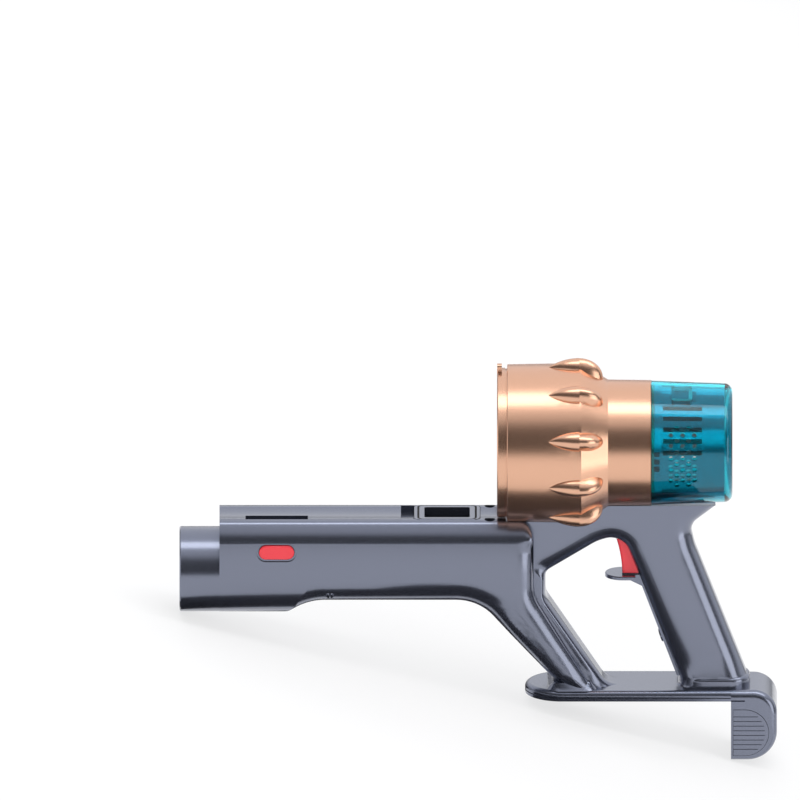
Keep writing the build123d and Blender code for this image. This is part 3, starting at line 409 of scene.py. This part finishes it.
def copy_to(model, spots, body, material):
    """Copies a model to its named places, each copy with its own mesh, and removes the model.

    The model is drawn in millimetres at the origin.
    """
    bpy.ops.object.mode_set(mode="OBJECT")
    bpy.ops.object.shade_smooth_by_angle(angle=SMOOTH_ANGLE)
    for name, place in spots:
        mesh = model.data.copy()
        mesh.name = name
        mesh.transform(PLACE @ Matrix.Scale(MM, 4) @ place)
        mesh.materials.append(material)
        piece = bpy.data.objects.new(name, mesh)
        bpy.context.scene.collection.objects.link(piece)
        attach(piece, body)
    # the model's object goes with its mesh
    bpy.data.meshes.remove(model.data)


def round_motor(x, turn, radius):
    """The place of a small piece on the motor unit: its top outwards, turned up from the near side."""
    out = Matrix.Rotation(math.radians(90.0 - turn), 4, "X")
    return Matrix.Translation((0.0, 0.0, MOTOR_HEIGHT)) @ out @ Matrix.Translation((x, 0.0, radius))


def drawn_line(corners, closed):
    """An outline as close points, with its corners rounded."""
    corners = [(np.array(c[:2]), c[2]) for c in corners]
    points = []
    for i, (corner, radius) in enumerate(corners):
        at_end = not closed and i in (0, len(corners) - 1)
        if at_end or radius == 0.0:
            points.append(corner)
            continue
        before = corners[i - 1][0] - corner
        after = corners[(i + 1) % len(corners)][0] - corner
        before, after = before / np.linalg.norm(before), after / np.linalg.norm(after)
        half = math.acos(float(before @ after)) / 2.0
        middle = (before + after) / np.linalg.norm(before + after)
        centre = corner + middle * radius / math.sin(half)
        first, last = (corner + way * radius / math.tan(half) - centre for way in (before, after))
        for share in np.linspace(0.0, 1.0, ARC_POINTS):
            way = (1.0 - share) * first + share * last
            points.append(centre + way * radius / np.linalg.norm(way))
    if closed:
        points.append(points[0])
    return np.array(points)


def side_distance(x, z, line):
    """How far each place lies from an outline, more than nothing on the left of its run."""
    spot = np.stack([x, z], axis=-1)
    nearest = np.full(x.shape, np.inf)
    signed = np.zeros(x.shape)
    for a, b in zip(line[:-1], line[1:]):
        run = b - a
        along = np.clip((spot - a) @ run / (run @ run), 0.0, 1.0)
        off = spot - a - along[..., None] * run
        distance = np.hypot(off[..., 0], off[..., 1])
        side = np.sign(run[0] * (spot[..., 1] - a[1]) - run[1] * (spot[..., 0] - a[0]))
        closer = distance < nearest
        signed = np.where(closer, distance * side, signed)
        nearest = np.minimum(nearest, distance)
    return signed


def swell(distance, reach):
    """Height of a quarter round over its reach, from 0 at its edge to 1."""
    share = np.clip(distance / reach, LEAST_SHARE, 1.0)
    return np.sqrt(1.0 - (1.0 - share) ** 2)


def fade(value, low, high):
    """A smooth step from 0 to 1."""
    share = np.clip((value - low) / (high - low), 0.0, 1.0)
    return share * share * (3.0 - 2.0 * share)


def rerounded(y, foot, distance, packed, reach, amount):
    """Gives a rounding another reach, in the part of the wall that lies outside its foot."""
    share = 1.0 + (swell(distance, reach) / swell(distance, packed) - 1.0) * amount
    return np.where(y > foot, foot + (y - foot) * share, y)


WINDOW_LINE = drawn_line(WINDOW, closed=True)
STRUT_LINE = drawn_line(STRUT_REAR, closed=False)
GRIP_LINE = drawn_line(GRIP_REAR, closed=False)
UNDER_LINE = drawn_line(STRUT_UNDER, closed=False)


def redrawn(x, y, z):
    """The casing's half width after its roundings are redrawn, for y from the middle outwards."""
    half_width = TUBE_HALF_WIDTH - STRUT_WAIST * (np.clip(-z, 0.0, None) / STRUT_HEIGHT) ** 2
    above_base = fade(z, *BASE_FADE)
    # underside of the strut: tighter than the tube's
    under = np.maximum(side_distance(x, z, UNDER_LINE), 0.0)
    amount = fade(x, *UNDERSIDE_ALONG) * fade(z, *UNDERSIDE_LOW) * (1.0 - fade(z, *UNDERSIDE_HIGH))
    y = rerounded(y, half_width - UNDERSIDE_ROUND, under, UNDERSIDE_ROUND, UNDERSIDE_REACH, amount)
    # rim of the finger window: broad along the arch and the grip's front, tight on the strut
    rim = np.maximum(side_distance(x, z, WINDOW_LINE), 0.0)
    broad = ARCH_REACH + (GRIP_FRONT_REACH - ARCH_REACH) * fade(-z, *GRIP_FRONT_DEPTH)
    from_strut = x + STRUT_LEAN * np.minimum(z, 0.0)
    arch = np.maximum(fade(from_strut, *ARCH_ALONG), fade(z, *ARCH_UP))
    reach = STRUT_RIM_REACH + (broad - STRUT_RIM_REACH) * arch
    y = rerounded(y, FRAME_HALF_WIDTH - WINDOW_ROUND, rim, WINDOW_ROUND, reach, above_base)
    # rear of the grip
    rear = np.maximum(-side_distance(x, z, GRIP_LINE), 0.0)
    amount = above_base * (1.0 - fade(z, *GRIP_REAR_HIGH)) * fade(x, *GRIP_ALONG)
    y = rerounded(y, FRAME_HALF_WIDTH - GRIP_ROUND, rear, GRIP_ROUND, GRIP_REAR_REACH, amount)
    # rear edge of the strut, where it stands proud of the window's rim
    edge = np.maximum(-side_distance(x, z, STRUT_LINE), 0.0)
    height = half_width - FRAME_HALF_WIDTH
    packed = height - STRUT_ROUND + STRUT_ROUND * swell(edge, STRUT_ROUND)
    wanted = height * (STRUT_EDGE_SHARE + (1.0 - STRUT_EDGE_SHARE) * swell(edge, STRUT_REACH))
    amount = fade(z, *STRUT_LOW) * (1.0 - fade(z, *STRUT_HIGH))
    share = 1.0 + (wanted / packed - 1.0) * amount
    proud = (y > FRAME_HALF_WIDTH) & (x < STRUT_END)
    y = np.where(proud, FRAME_HALF_WIDTH + (y - FRAME_HALF_WIDTH) * share, y)
    # the grip swells to meet the collar at its foot
    meet = COLLAR_STEP * np.clip(1.0 - (z - COLLAR_TOP) / COLLAR_SWELL, 0.0, 1.0) ** 2
    on_grip = fade(y, *COLLAR_OUT) * (1.0 - fade(y, *COLLAR_END)) * fade(x, *COLLAR_ALONG)
    y = y + meet * on_grip * (z > COLLAR_TOP)
    # the tube's side leans in a little towards its shoulder
    lean = np.clip((z - LEAN_START) / LEAN_RISE, 0.0, LEAN_MOST) ** 2
    return y - SIDE_SINK * lean * fade(y, *LEAN_OUT) * (1.0 - fade(x, *LEAN_END))


def cut_walls(form, spots, way):
    """Cuts a mesh's side walls along parallel planes, so that they can bend."""
    walls = [f for f in form.faces if abs(f.normal.y) > WALL_FACING]
    parts = list({part for f in walls for part in (f, *f.edges, *f.verts)})
    for spot in spots:
        cut = bmesh.ops.bisect_plane(form, geom=parts, dist=WELD, plane_co=spot, plane_no=way)
        parts = cut["geom"]


def cut_copy(source):
    """A casing half's mesh, laid level, with its walls cut to a grid and its normals kept at each corner."""
    mesh = frame["nodes"][source].data.copy()
    normals = np.empty(len(mesh.loops) * 3, dtype=np.float32)
    mesh.corner_normals.foreach_get("vector", normals)
    mesh.attributes.new("packed_normal", "FLOAT_VECTOR", "CORNER").data.foreach_set("vector", normals)
    form = bmesh.new()
    form.from_mesh(mesh)
    bmesh.ops.remove_doubles(form, verts=form.verts, dist=WELD)
    form.transform(PLACE.inverted())
    form.normal_update()
    cut_walls(form, [(0.0, 0.0, z * MM) for z in np.arange(*CUT_HEIGHTS, GRID)], (0.0, 0.0, 1.0))
    cut_walls(form, [(x * MM, 0.0, 0.0) for x in np.arange(*CUT_LENGTHS, GRID)], (1.0, 0.0, 0.0))
    bmesh.ops.triangulate(form, faces=form.faces)
    form.to_mesh(mesh)
    form.free()
    return mesh


def bend_walls(mesh):
    """Moves a level casing half to its redrawn roundings, and gives its corners' normals, bent with it."""
    places = np.empty(len(mesh.vertices) * 3)
    mesh.vertices.foreach_get("co", places)
    places = places.reshape(-1, 3) / MM
    side = np.sign(places[:, 1].mean())
    normals = np.empty(len(mesh.loops) * 3)
    mesh.attributes["packed_normal"].data.foreach_get("vector", normals)
    normals = normals.reshape(-1, 3) @ np.array(PLACE.to_3x3())
    corner = np.empty(len(mesh.loops), dtype=np.int32)
    mesh.loops.foreach_get("vertex_index", corner)
    x, y, z = places.T
    y = y * side
    step = SLOPE_STEP
    along = (redrawn(x + step, y, z) - redrawn(x - step, y, z)) / (2 * step)
    across = (redrawn(x, y + step, z) - redrawn(x, y - step, z)) / (2 * step)
    up = (redrawn(x, y, z + step) - redrawn(x, y, z - step)) / (2 * step)
    across = np.maximum(across, LEAST_STRETCH)
    outwards = normals[:, 1] * side
    bent = np.stack(
        [
            normals[:, 0] - (along / across)[corner] * outwards,
            outwards / across[corner] * side,
            normals[:, 2] - (up / across)[corner] * outwards,
        ],
        axis=-1,
    )
    places[:, 1] = side * redrawn(x, y, z)
    mesh.vertices.foreach_set("co", (places * MM).ravel())
    mesh.attributes.remove(mesh.attributes["packed_normal"])
    return bent / np.linalg.norm(bent, axis=1)[:, None]


def redrawn_half(name, source, paint):
    """A copy of one casing half with its edges drawn rounder.

    It is bent in mesh code, because its roundings follow curved outlines and no bevel can widen a rounding
    that is already there.
    """
    mesh = cut_copy(source)
    normals = bend_walls(mesh)
    mesh.transform(PLACE)
    mesh.normals_split_custom_set(normals @ np.array(PLACE.to_3x3()).T)
    mesh.materials.clear()
    mesh.materials.append(paint)
    piece = bpy.data.objects.new(name, mesh)
    bpy.context.scene.collection.objects.link(piece)
    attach(piece, "housing")
    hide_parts(source)


def colour_property(name, description, code):
    """A colour that a user can change, from its sRGB hex value."""
    return bpy.props.FloatVectorProperty(
        name=name, description=description, subtype="COLOR", size=4, min=0.0, max=1.0, default=linear(code)
    )


class VacuumBodySettings(bpy.types.PropertyGroup):
    """Sizes and colours of the pieces made here."""

    casing_colour: colour_property("Casing", "Metallic paint of the casing", "#7B8091")
    barrel_colour: colour_property("Barrel", "Anodised finish of the barrel", "#E5B497")
    cap_tint: colour_property("Cap tint", "Tint of the clear exhaust cap", "#12B6C8")
    silver_colour: colour_property("Cage", "Silver of the cage inside the cap", "#C9D2D6")
    button_colour: colour_property("Buttons", "Glossy red of the trigger and wand buttons", "#EE3340")
    screw_radius: bpy.props.FloatProperty(
        name="Screw radius", description="Radius of a screw's head", default=2.9 * MM, unit="LENGTH"
    )
    screw_height: bpy.props.FloatProperty(
        name="Screw height", description="Height of a screw's head", default=2.2 * MM, unit="LENGTH"
    )
    latch_size: bpy.props.FloatVectorProperty(
        name="Latch size",
        description="Length, width and thickness of a latch of the cage",
        default=(14.2 * MM, 15.0 * MM, 2.4 * MM),
        subtype="XYZ_LENGTH",
    )
    clip_size: bpy.props.FloatVectorProperty(
        name="Clip size",
        description="Length, width and thickness of a clip of the cage",
        default=(3.6 * MM, 3.4 * MM, 1.2 * MM),
        subtype="XYZ_LENGTH",
    )


class VACUUM_OT_casing_finish(bpy.types.Operator):
    """Redraws the casing's roundings, and finishes it with the collar and plates that share its paint"""

    bl_idname = "vacuum.casing_finish"
    bl_label = "Finish Casing"

    def execute(self, context):
        paint = painted_abs(context.scene.vacuum_body.casing_colour)
        for side in ("left", "right"):
            redrawn_half("casing_" + side, "shell_" + side, paint)
        finish_nodes(paint, "nose_collar", "top_saddle", "port_rim", "dock_plate", "heel_cover")
        finish_nodes(paint, "battery_button_left", "battery_button_right", "grip_strip", "screw_plug")
        # plain dark ABS: even, with a low gloss
        finish_nodes(moulded_plastic("dark_moulded_abs", linear("#2E3038"), 0.35), "inlet_duct")
        return {"FINISHED"}


class VACUUM_OT_barrel_finish(bpy.types.Operator):
    """Finishes the barrel, its rear cowl and its front ring"""

    bl_idname = "vacuum.barrel_finish"
    bl_label = "Finish Barrel"

    def execute(self, context):
        rose_gold = satin_rose_gold(context.scene.vacuum_body.barrel_colour)
        finish_nodes(rose_gold, "motor_barrel", "motor_cowl", "front_ring")
        return {"FINISHED"}


class VACUUM_OT_cap_finish(bpy.types.Operator):
    """Finishes the clear cap, and the cage and filter seen through it"""

    bl_idname = "vacuum.cap_finish"
    bl_label = "Finish Cap"

    def execute(self, context):
        settings = context.scene.vacuum_body
        finish_nodes(clear_teal(settings.cap_tint), "exhaust_cap")
        # satin anodised aluminium: pale silver, which shows in the cap's colour
        finish_nodes(metal("satin_silver_aluminium", settings.silver_colour, 0.22), "filter_frame")
        # bonded filter paper: dull and pale
        paper = moulded_plastic("pleated_filter_paper", linear("#9FB4B8"), 0.9)
        finish_nodes(paper, "exhaust_filter")
        return {"FINISHED"}


class VACUUM_OT_small_finish(bpy.types.Operator):
    """Finishes the buttons, the trigger, the seals and the inner pieces"""

    bl_idname = "vacuum.small_finish"
    bl_label = "Finish Small Pieces"

    def execute(self, context):
        # ABS from a polished mould: even, bright and glossy
        red = moulded_plastic("red_glossy_abs", context.scene.vacuum_body.button_colour, 0.25, coat=0.4)
        finish_nodes(red, "trigger", "wand_button_left", "wand_button_right")
        # pressed rubber: nearly black, with a dull bloom
        rubber = moulded_plastic(
            "black_nitrile_rubber", linear("#101012"), 0.75, grain=RUBBER_GRAIN, depth=0.1
        )
        finish_nodes(rubber, "port_seal", "cap_seal", "front_motor_mount", "rear_motor_mount")
        # moulded nylon: black, with a soft low sheen
        black = moulded_plastic("black_nylon", linear("#17181B"), 0.55)
        finish_nodes(black, "bulkhead", "intake_grille", "trigger_switch", "terminal_block", "impeller")
        # lacquered glass-fibre board: deep green with a soft gloss
        finish_nodes(moulded_plastic("green_circuit_board", linear("#14532B"), 0.4), "control_board")
        # brass stamped from sheet: warm yellow with a clear light
        finish_nodes(metal("stamped_brass", linear("#C8A25A"), 0.3), "contact_blades")
        # steel, turned or pressed: cool grey with a clear light
        steel = metal("turned_steel", linear("#B9BBC0"), 0.3)
        finish_nodes(steel, "motor_can", "stator", "rotor", "front_bearing", "rear_bearing", "trigger_pin")
        return {"FINISHED"}


class VACUUM_OT_springs(bpy.types.Operator):
    """Makes steel copies of the springs of the buttons and the trigger"""

    bl_idname = "vacuum.springs"
    bl_label = "Add Springs"

    def execute(self, context):
        # hard drawn wire: cool grey, with a narrow light along each coil
        steel = metal("drawn_spring_steel", linear("#B9BBC0"), 0.3)
        for joint in frame["record"]["behaviour"]["joints"]:
            for row in joint.get("deforming_nodes", ()):
                way = row["mode"][-1]
                self.spring(joint, row["node"], "xyz".index(way), row[f"fixed_end_{way}_m"], steel)
        return {"FINISHED"}

    def spring(self, joint, source, way, fixed, steel):
        """One spring: a steel copy of the imported one, which is hidden."""
        low, high = (Vector(corner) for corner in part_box(source))
        mesh = frame["nodes"][source].data.copy()
        mesh.materials.clear()
        mesh.materials.append(steel)
        piece = bpy.data.objects.new("pressed_" + source, mesh)
        bpy.context.scene.collection.objects.link(piece)
        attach(piece, "housing")
        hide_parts(source)
        axis = Vector((0.0, 0.0, 0.0))
        axis[way] = 1.0
        anchor = (low + high) / 2
        anchor[way] = fixed
        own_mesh(piece)


class VACUUM_OT_screws(bpy.types.Operator):
    """Adds the screws down in the two holes of the tube's top"""

    bl_idname = "vacuum.screws"
    bl_label = "Add Screws"

    def execute(self, context):
        settings = context.scene.vacuum_body
        bpy.ops.object.select_all(action="DESELECT")
        bpy.ops.mesh.primitive_cylinder_add(
            vertices=SCREW_SIDES, radius=settings.screw_radius / MM, depth=settings.screw_height / MM
        )
        screw = bpy.context.object
        select_faces(screw, faces_up)
        bpy.ops.mesh.bevel(offset=SCREW_EDGE, segments=3)
        select_faces(screw, self.is_disc)
        bpy.ops.mesh.inset(thickness=SCREW_RIM)
        bpy.ops.object.mode_set(mode="OBJECT")
        self.draw_star(screw)
        select_faces(screw, self.is_disc)
        push_down(SCREW_RECESS)
        spots = [(f"top_screw_{i}", Matrix.Translation(spot)) for i, spot in enumerate(TOP_SCREWS)]
        # steel, zinc plated and blackened: dark with a low metal light
        steel = metal("black_zinc_steel", linear("#4A4C52"), 0.35)
        copy_to(screw, spots, "housing", steel)
        return {"FINISHED"}

    def is_disc(self, face):
        """Whether a face is the round one in the middle of the screw's top."""
        return faces_up(face) and len(face.vertices) == SCREW_SIDES

    def draw_star(self, screw):
        """Draws the driver's recess in to a six-lobed star."""
        disc = next(face for face in screw.data.polygons if self.is_disc(face))
        for index in disc.vertices:
            place = screw.data.vertices[index].co
            angle = math.atan2(place.y, place.x)
            place.xy *= 1.0 - LOBE_DEPTH * (1.0 - math.cos(SCREW_LOBES * angle))


class VACUUM_OT_cage_latches(bpy.types.Operator):
    """Adds the rounded latches and the small clips of the cage inside the cap"""

    bl_idname = "vacuum.cage_latches"
    bl_label = "Add Cage Latches"

    def execute(self, context):
        settings = context.scene.vacuum_body
        # blasted and anodised aluminium: the cage's own silver with a duller light
        silver = metal("blasted_silver_aluminium", settings.silver_colour, 0.3)
        latch, thick = self.framed_block(settings.latch_size, LATCH_ROUND, LATCH_FRAME, LATCH_RECESS)
        spots = self.both_sides("cage_latch_{}", LATCH_X, LATCH_TURN, CAGE_RADIUS + thick / 2 - LATCH_SUNK)
        copy_to(latch, spots, "exhaust_unit", silver)
        # dark ABS in the cap's hue: nearly black, with a soft gloss
        dark = moulded_plastic("dark_teal_abs", linear("#0B4A56"), 0.3)
        clip, thick = self.framed_block(settings.clip_size, CLIP_ROUND, CLIP_FRAME, CLIP_RECESS)
        spots = []
        for i, turn in enumerate(CLIP_TURNS):
            radius = CAGE_RADIUS + CLIP_LIFT + thick / 2
            spots += self.both_sides("cage_clip_{}_" + str(i), CLIP_X, turn, radius)
        copy_to(clip, spots, "exhaust_unit", dark)
        return {"FINISHED"}

    def both_sides(self, name, x, turn, radius):
        """A piece's place on the near side, and the same on the far side."""
        near = (name.format("near"), round_motor(x, turn, radius))
        far = (name.format("far"), round_motor(x, 180.0 - turn, radius))
        return [near, far]

    def framed_block(self, size, corner, rim, depth):
        """A flat block with rounded corners and a recess in its top, and its thickness in millimetres."""
        size = [edge / MM for edge in size]
        bpy.ops.object.select_all(action="DESELECT")
        bpy.ops.mesh.primitive_cube_add(size=1.0)
        block = bpy.context.object
        block.scale = size
        bpy.ops.object.transform_apply(location=False, rotation=False, scale=True)
        bpy.ops.object.mode_set(mode="EDIT")
        bpy.ops.mesh.select_all(action="DESELECT")
        bpy.ops.mesh.select_mode(type="EDGE")
        bpy.ops.object.mode_set(mode="OBJECT")
        for edge in block.data.edges:
            a, b = (block.data.vertices[i].co for i in edge.vertices)
            edge.select = abs(a.z - b.z) > 0.5 * size[2]
        bpy.ops.object.mode_set(mode="EDIT")
        bpy.ops.mesh.bevel(offset=corner, segments=CORNER_STEPS)
        select_faces(block, faces_up)
        bpy.ops.mesh.inset(thickness=rim)
        push_down(depth)
        return block, size[2]


class VACUUM_OT_studio(bpy.types.Operator):
    """Sets up the floor, the lamps, the sky and the camera"""

    bl_idname = "vacuum.studio"
    bl_label = "Set Up Studio"

    def execute(self, context):
        self.floor()
        # painted dark reflection beside the body, seen only in its gloss
        self.flags()
        self.lamps()
        self.sky(context.scene)
        self.camera(context.scene)
        context.scene.view_settings.view_transform = "Standard"
        return {"FINISHED"}

    def floor(self):
        """A matt pale floor that shows white to the camera and in gloss, and keeps the body's shadow."""
        bpy.ops.object.select_all(action="DESELECT")
        bpy.ops.mesh.primitive_plane_add(size=FLOOR_SIZE, location=(0.0, 0.0, FLOOR_HEIGHT))
        floor = bpy.context.object
        floor.name = "studio_floor"
        material, tree, output, _ = new_material("pale_studio_floor")
        matt = node(tree, "ShaderNodeBsdfDiffuse", Color=linear(FLOOR_COLOUR))
        bright = node(tree, "ShaderNodeEmission", Color=linear("#FFFFFF"), Strength=1.0)
        path = node(tree, "ShaderNodeLightPath")
        seen = path.outputs["Is Camera Ray"]
        for kind in ("Is Glossy Ray", "Is Transmission Ray"):
            either = node(tree, "ShaderNodeMath", {"operation": "MAXIMUM"})
            tree.links.new(seen, either.inputs[0])
            tree.links.new(path.outputs[kind], either.inputs[1])
            seen = either.outputs["Value"]
        share = node(tree, "ShaderNodeMath", {"operation": "MULTIPLY"})
        tree.links.new(seen, share.inputs[0])
        share.inputs[1].default_value = FLOOR_GLOW
        mix = node(tree, "ShaderNodeMixShader", Fac=share.outputs["Value"])
        tree.links.new(matt.outputs["BSDF"], mix.inputs[1])
        tree.links.new(bright.outputs["Emission"], mix.inputs[2])
        tree.links.new(mix.outputs["Shader"], output.inputs["Surface"])
        floor.data.materials.append(material)

    def flags(self):
        """Dark sheets beside the body, seen only in its gloss: a painted dark reflection of shaded floor.

        They draw the dark line along its lower edges.
        """
        material, tree, output, _ = new_material("painted_dark_reflection")
        # a dark matt sheet: the painted reflection
        reflection_shader = node(tree, "ShaderNodeBsdfDiffuse", Color=linear(DARK_REFLECTION_COLOUR))
        tree.links.new(reflection_shader.outputs["BSDF"], output.inputs["Surface"])
        count = len(DARK_REFLECTION_EDGES)
        faces = [(i, i + 1, i + 1 + count, i + count) for i in range(count - 1)]
        for side in (-1, 1):
            inner = [(x, side * near, 0.0) for x, near, _ in DARK_REFLECTION_EDGES]
            outer = [(x, side * far, 0.0) for x, _, far in DARK_REFLECTION_EDGES]
            mesh = bpy.data.meshes.new("dark_reflection_sheet")
            mesh.from_pydata(inner + outer, [], faces)
            mesh.materials.append(material)
            reflection_sheet = bpy.data.objects.new("dark_reflection_sheet", mesh)
            bpy.context.scene.collection.objects.link(reflection_sheet)
            # hidden from the camera, from light and from shadow, so that it shows only as a painted dark
            # reflection
            for kind in ("camera", "diffuse", "transmission", "volume_scatter", "shadow"):
                setattr(reflection_sheet, "visible_" + kind, False)

    def lamps(self):
        """Soft area lamps, all aimed at the body."""
        for lamp in LAMPS:
            light = bpy.data.lights.new(lamp["name"], "AREA")
            light.shape = "RECTANGLE"
            light.size, light.size_y = lamp["size"]
            light.energy = lamp["power"]
            holder = bpy.data.objects.new(lamp["name"], light)
            holder.location = lamp["spot"]
            holder.rotation_euler = (LAMP_AIM - holder.location).to_track_quat("-Z", "Y").to_euler()
            holder.visible_glossy = not lamp["fill"]
            bpy.context.scene.collection.objects.link(holder)

    def sky(self, scene):
        """Dark in front and bright overhead, as in a studio with a black wall under its ceiling."""
        world = bpy.data.worlds.new("studio_sky")
        world.use_nodes = True
        tree = world.node_tree
        tree.nodes.clear()
        output = node(tree, "ShaderNodeOutputWorld")
        way = node(tree, "ShaderNodeTexCoord").outputs["Generated"]
        parts = node(tree, "ShaderNodeSeparateXYZ", Vector=way)
        behind = node(
            tree,
            "ShaderNodeMapRange",
            {"interpolation_type": "SMOOTHSTEP"},
            Value=parts.outputs["Y"],
            From_Min=SKY_TURN[0],
            From_Max=SKY_TURN[1],
        )
        mix = node(tree, "ShaderNodeMix", {"data_type": "RGBA"}, Factor=behind.outputs["Result"])
        colours = [socket for socket in mix.inputs if socket.type == "RGBA"]
        for socket, stops in zip(colours, (FRONT_SKY, REAR_SKY)):
            shade = node(tree, "ShaderNodeValToRGB", Fac=parts.outputs["Z"])
            shade.color_ramp.interpolation = "EASE"
            while len(shade.color_ramp.elements) < len(stops):
                shade.color_ramp.elements.new(0.5)
            for element, (place, level) in zip(shade.color_ramp.elements, stops):
                element.position = place
                element.color = [level * tint for tint in SKY_TINT] + [1.0]
            tree.links.new(shade.outputs["Color"], socket)
        mixed = next(socket for socket in mix.outputs if socket.type == "RGBA")
        background = node(tree, "ShaderNodeBackground", Color=mixed, Strength=1.0)
        tree.links.new(background.outputs["Background"], output.inputs["Surface"])
        scene.world = world

    def camera(self, scene):
        """The photograph's view, square to the level body and tilted down on it."""
        lens = bpy.data.cameras.new("studio_camera")
        lens.type = "ORTHO"
        lens.ortho_scale = VIEW_WIDTH
        lens.clip_start, lens.clip_end = LENS_DEPTH
        back = Vector((0.0, -math.cos(VIEW_ELEVATION), math.sin(VIEW_ELEVATION)))
        right = Vector((1.0, 0.0, 0.0))
        turn = Matrix((right, back.cross(right), back)).transposed()
        camera = bpy.data.objects.new("studio_camera", lens)
        spot = Matrix.Translation(VIEW_CENTRE + back * VIEW_DISTANCE)
        camera.matrix_world = PLACE @ spot @ turn.to_4x4()
        scene.collection.objects.link(camera)
        scene.camera = camera


OPERATORS = (
    VACUUM_OT_casing_finish,
    VACUUM_OT_barrel_finish,
    VACUUM_OT_cap_finish,
    VACUUM_OT_small_finish,
    VACUUM_OT_springs,
    VACUUM_OT_screws,
    VACUUM_OT_cage_latches,
    VACUUM_OT_studio,
)


class VACUUM_PT_body(bpy.types.Panel):
    """Lists the settings and the steps that dress the vacuum's main body"""

    bl_idname = "VACUUM_PT_body"
    bl_label = "Vacuum Body"
    bl_space_type = "VIEW_3D"
    bl_region_type = "UI"
    bl_category = "Vacuum Body"

    def draw(self, context):
        """Lists each setting and each step."""
        for name in VacuumBodySettings.__annotations__:
            self.layout.prop(context.scene.vacuum_body, name)
        for operator in OPERATORS:
            self.layout.operator(operator.bl_idname)


CLASSES = (VacuumBodySettings, *OPERATORS, VACUUM_PT_body)


def register():
    """Registers the classes, and gives each scene its settings."""
    for item in CLASSES:
        bpy.utils.register_class(item)
    bpy.types.Scene.vacuum_body = bpy.props.PointerProperty(type=VacuumBodySettings)


def unregister():
    """Takes the settings and the classes away again."""
    del bpy.types.Scene.vacuum_body
    for item in reversed(CLASSES):
        bpy.utils.unregister_class(item)


def main():
    """Dresses the model from start to end."""
    register()
    bpy.ops.vacuum.casing_finish()
    bpy.ops.vacuum.barrel_finish()
    bpy.ops.vacuum.cap_finish()
    bpy.ops.vacuum.small_finish()
    bpy.ops.vacuum.springs()
    bpy.ops.vacuum.screws()
    bpy.ops.vacuum.cage_latches()
    bpy.ops.vacuum.studio()


if __name__ == "__main__":
    main()
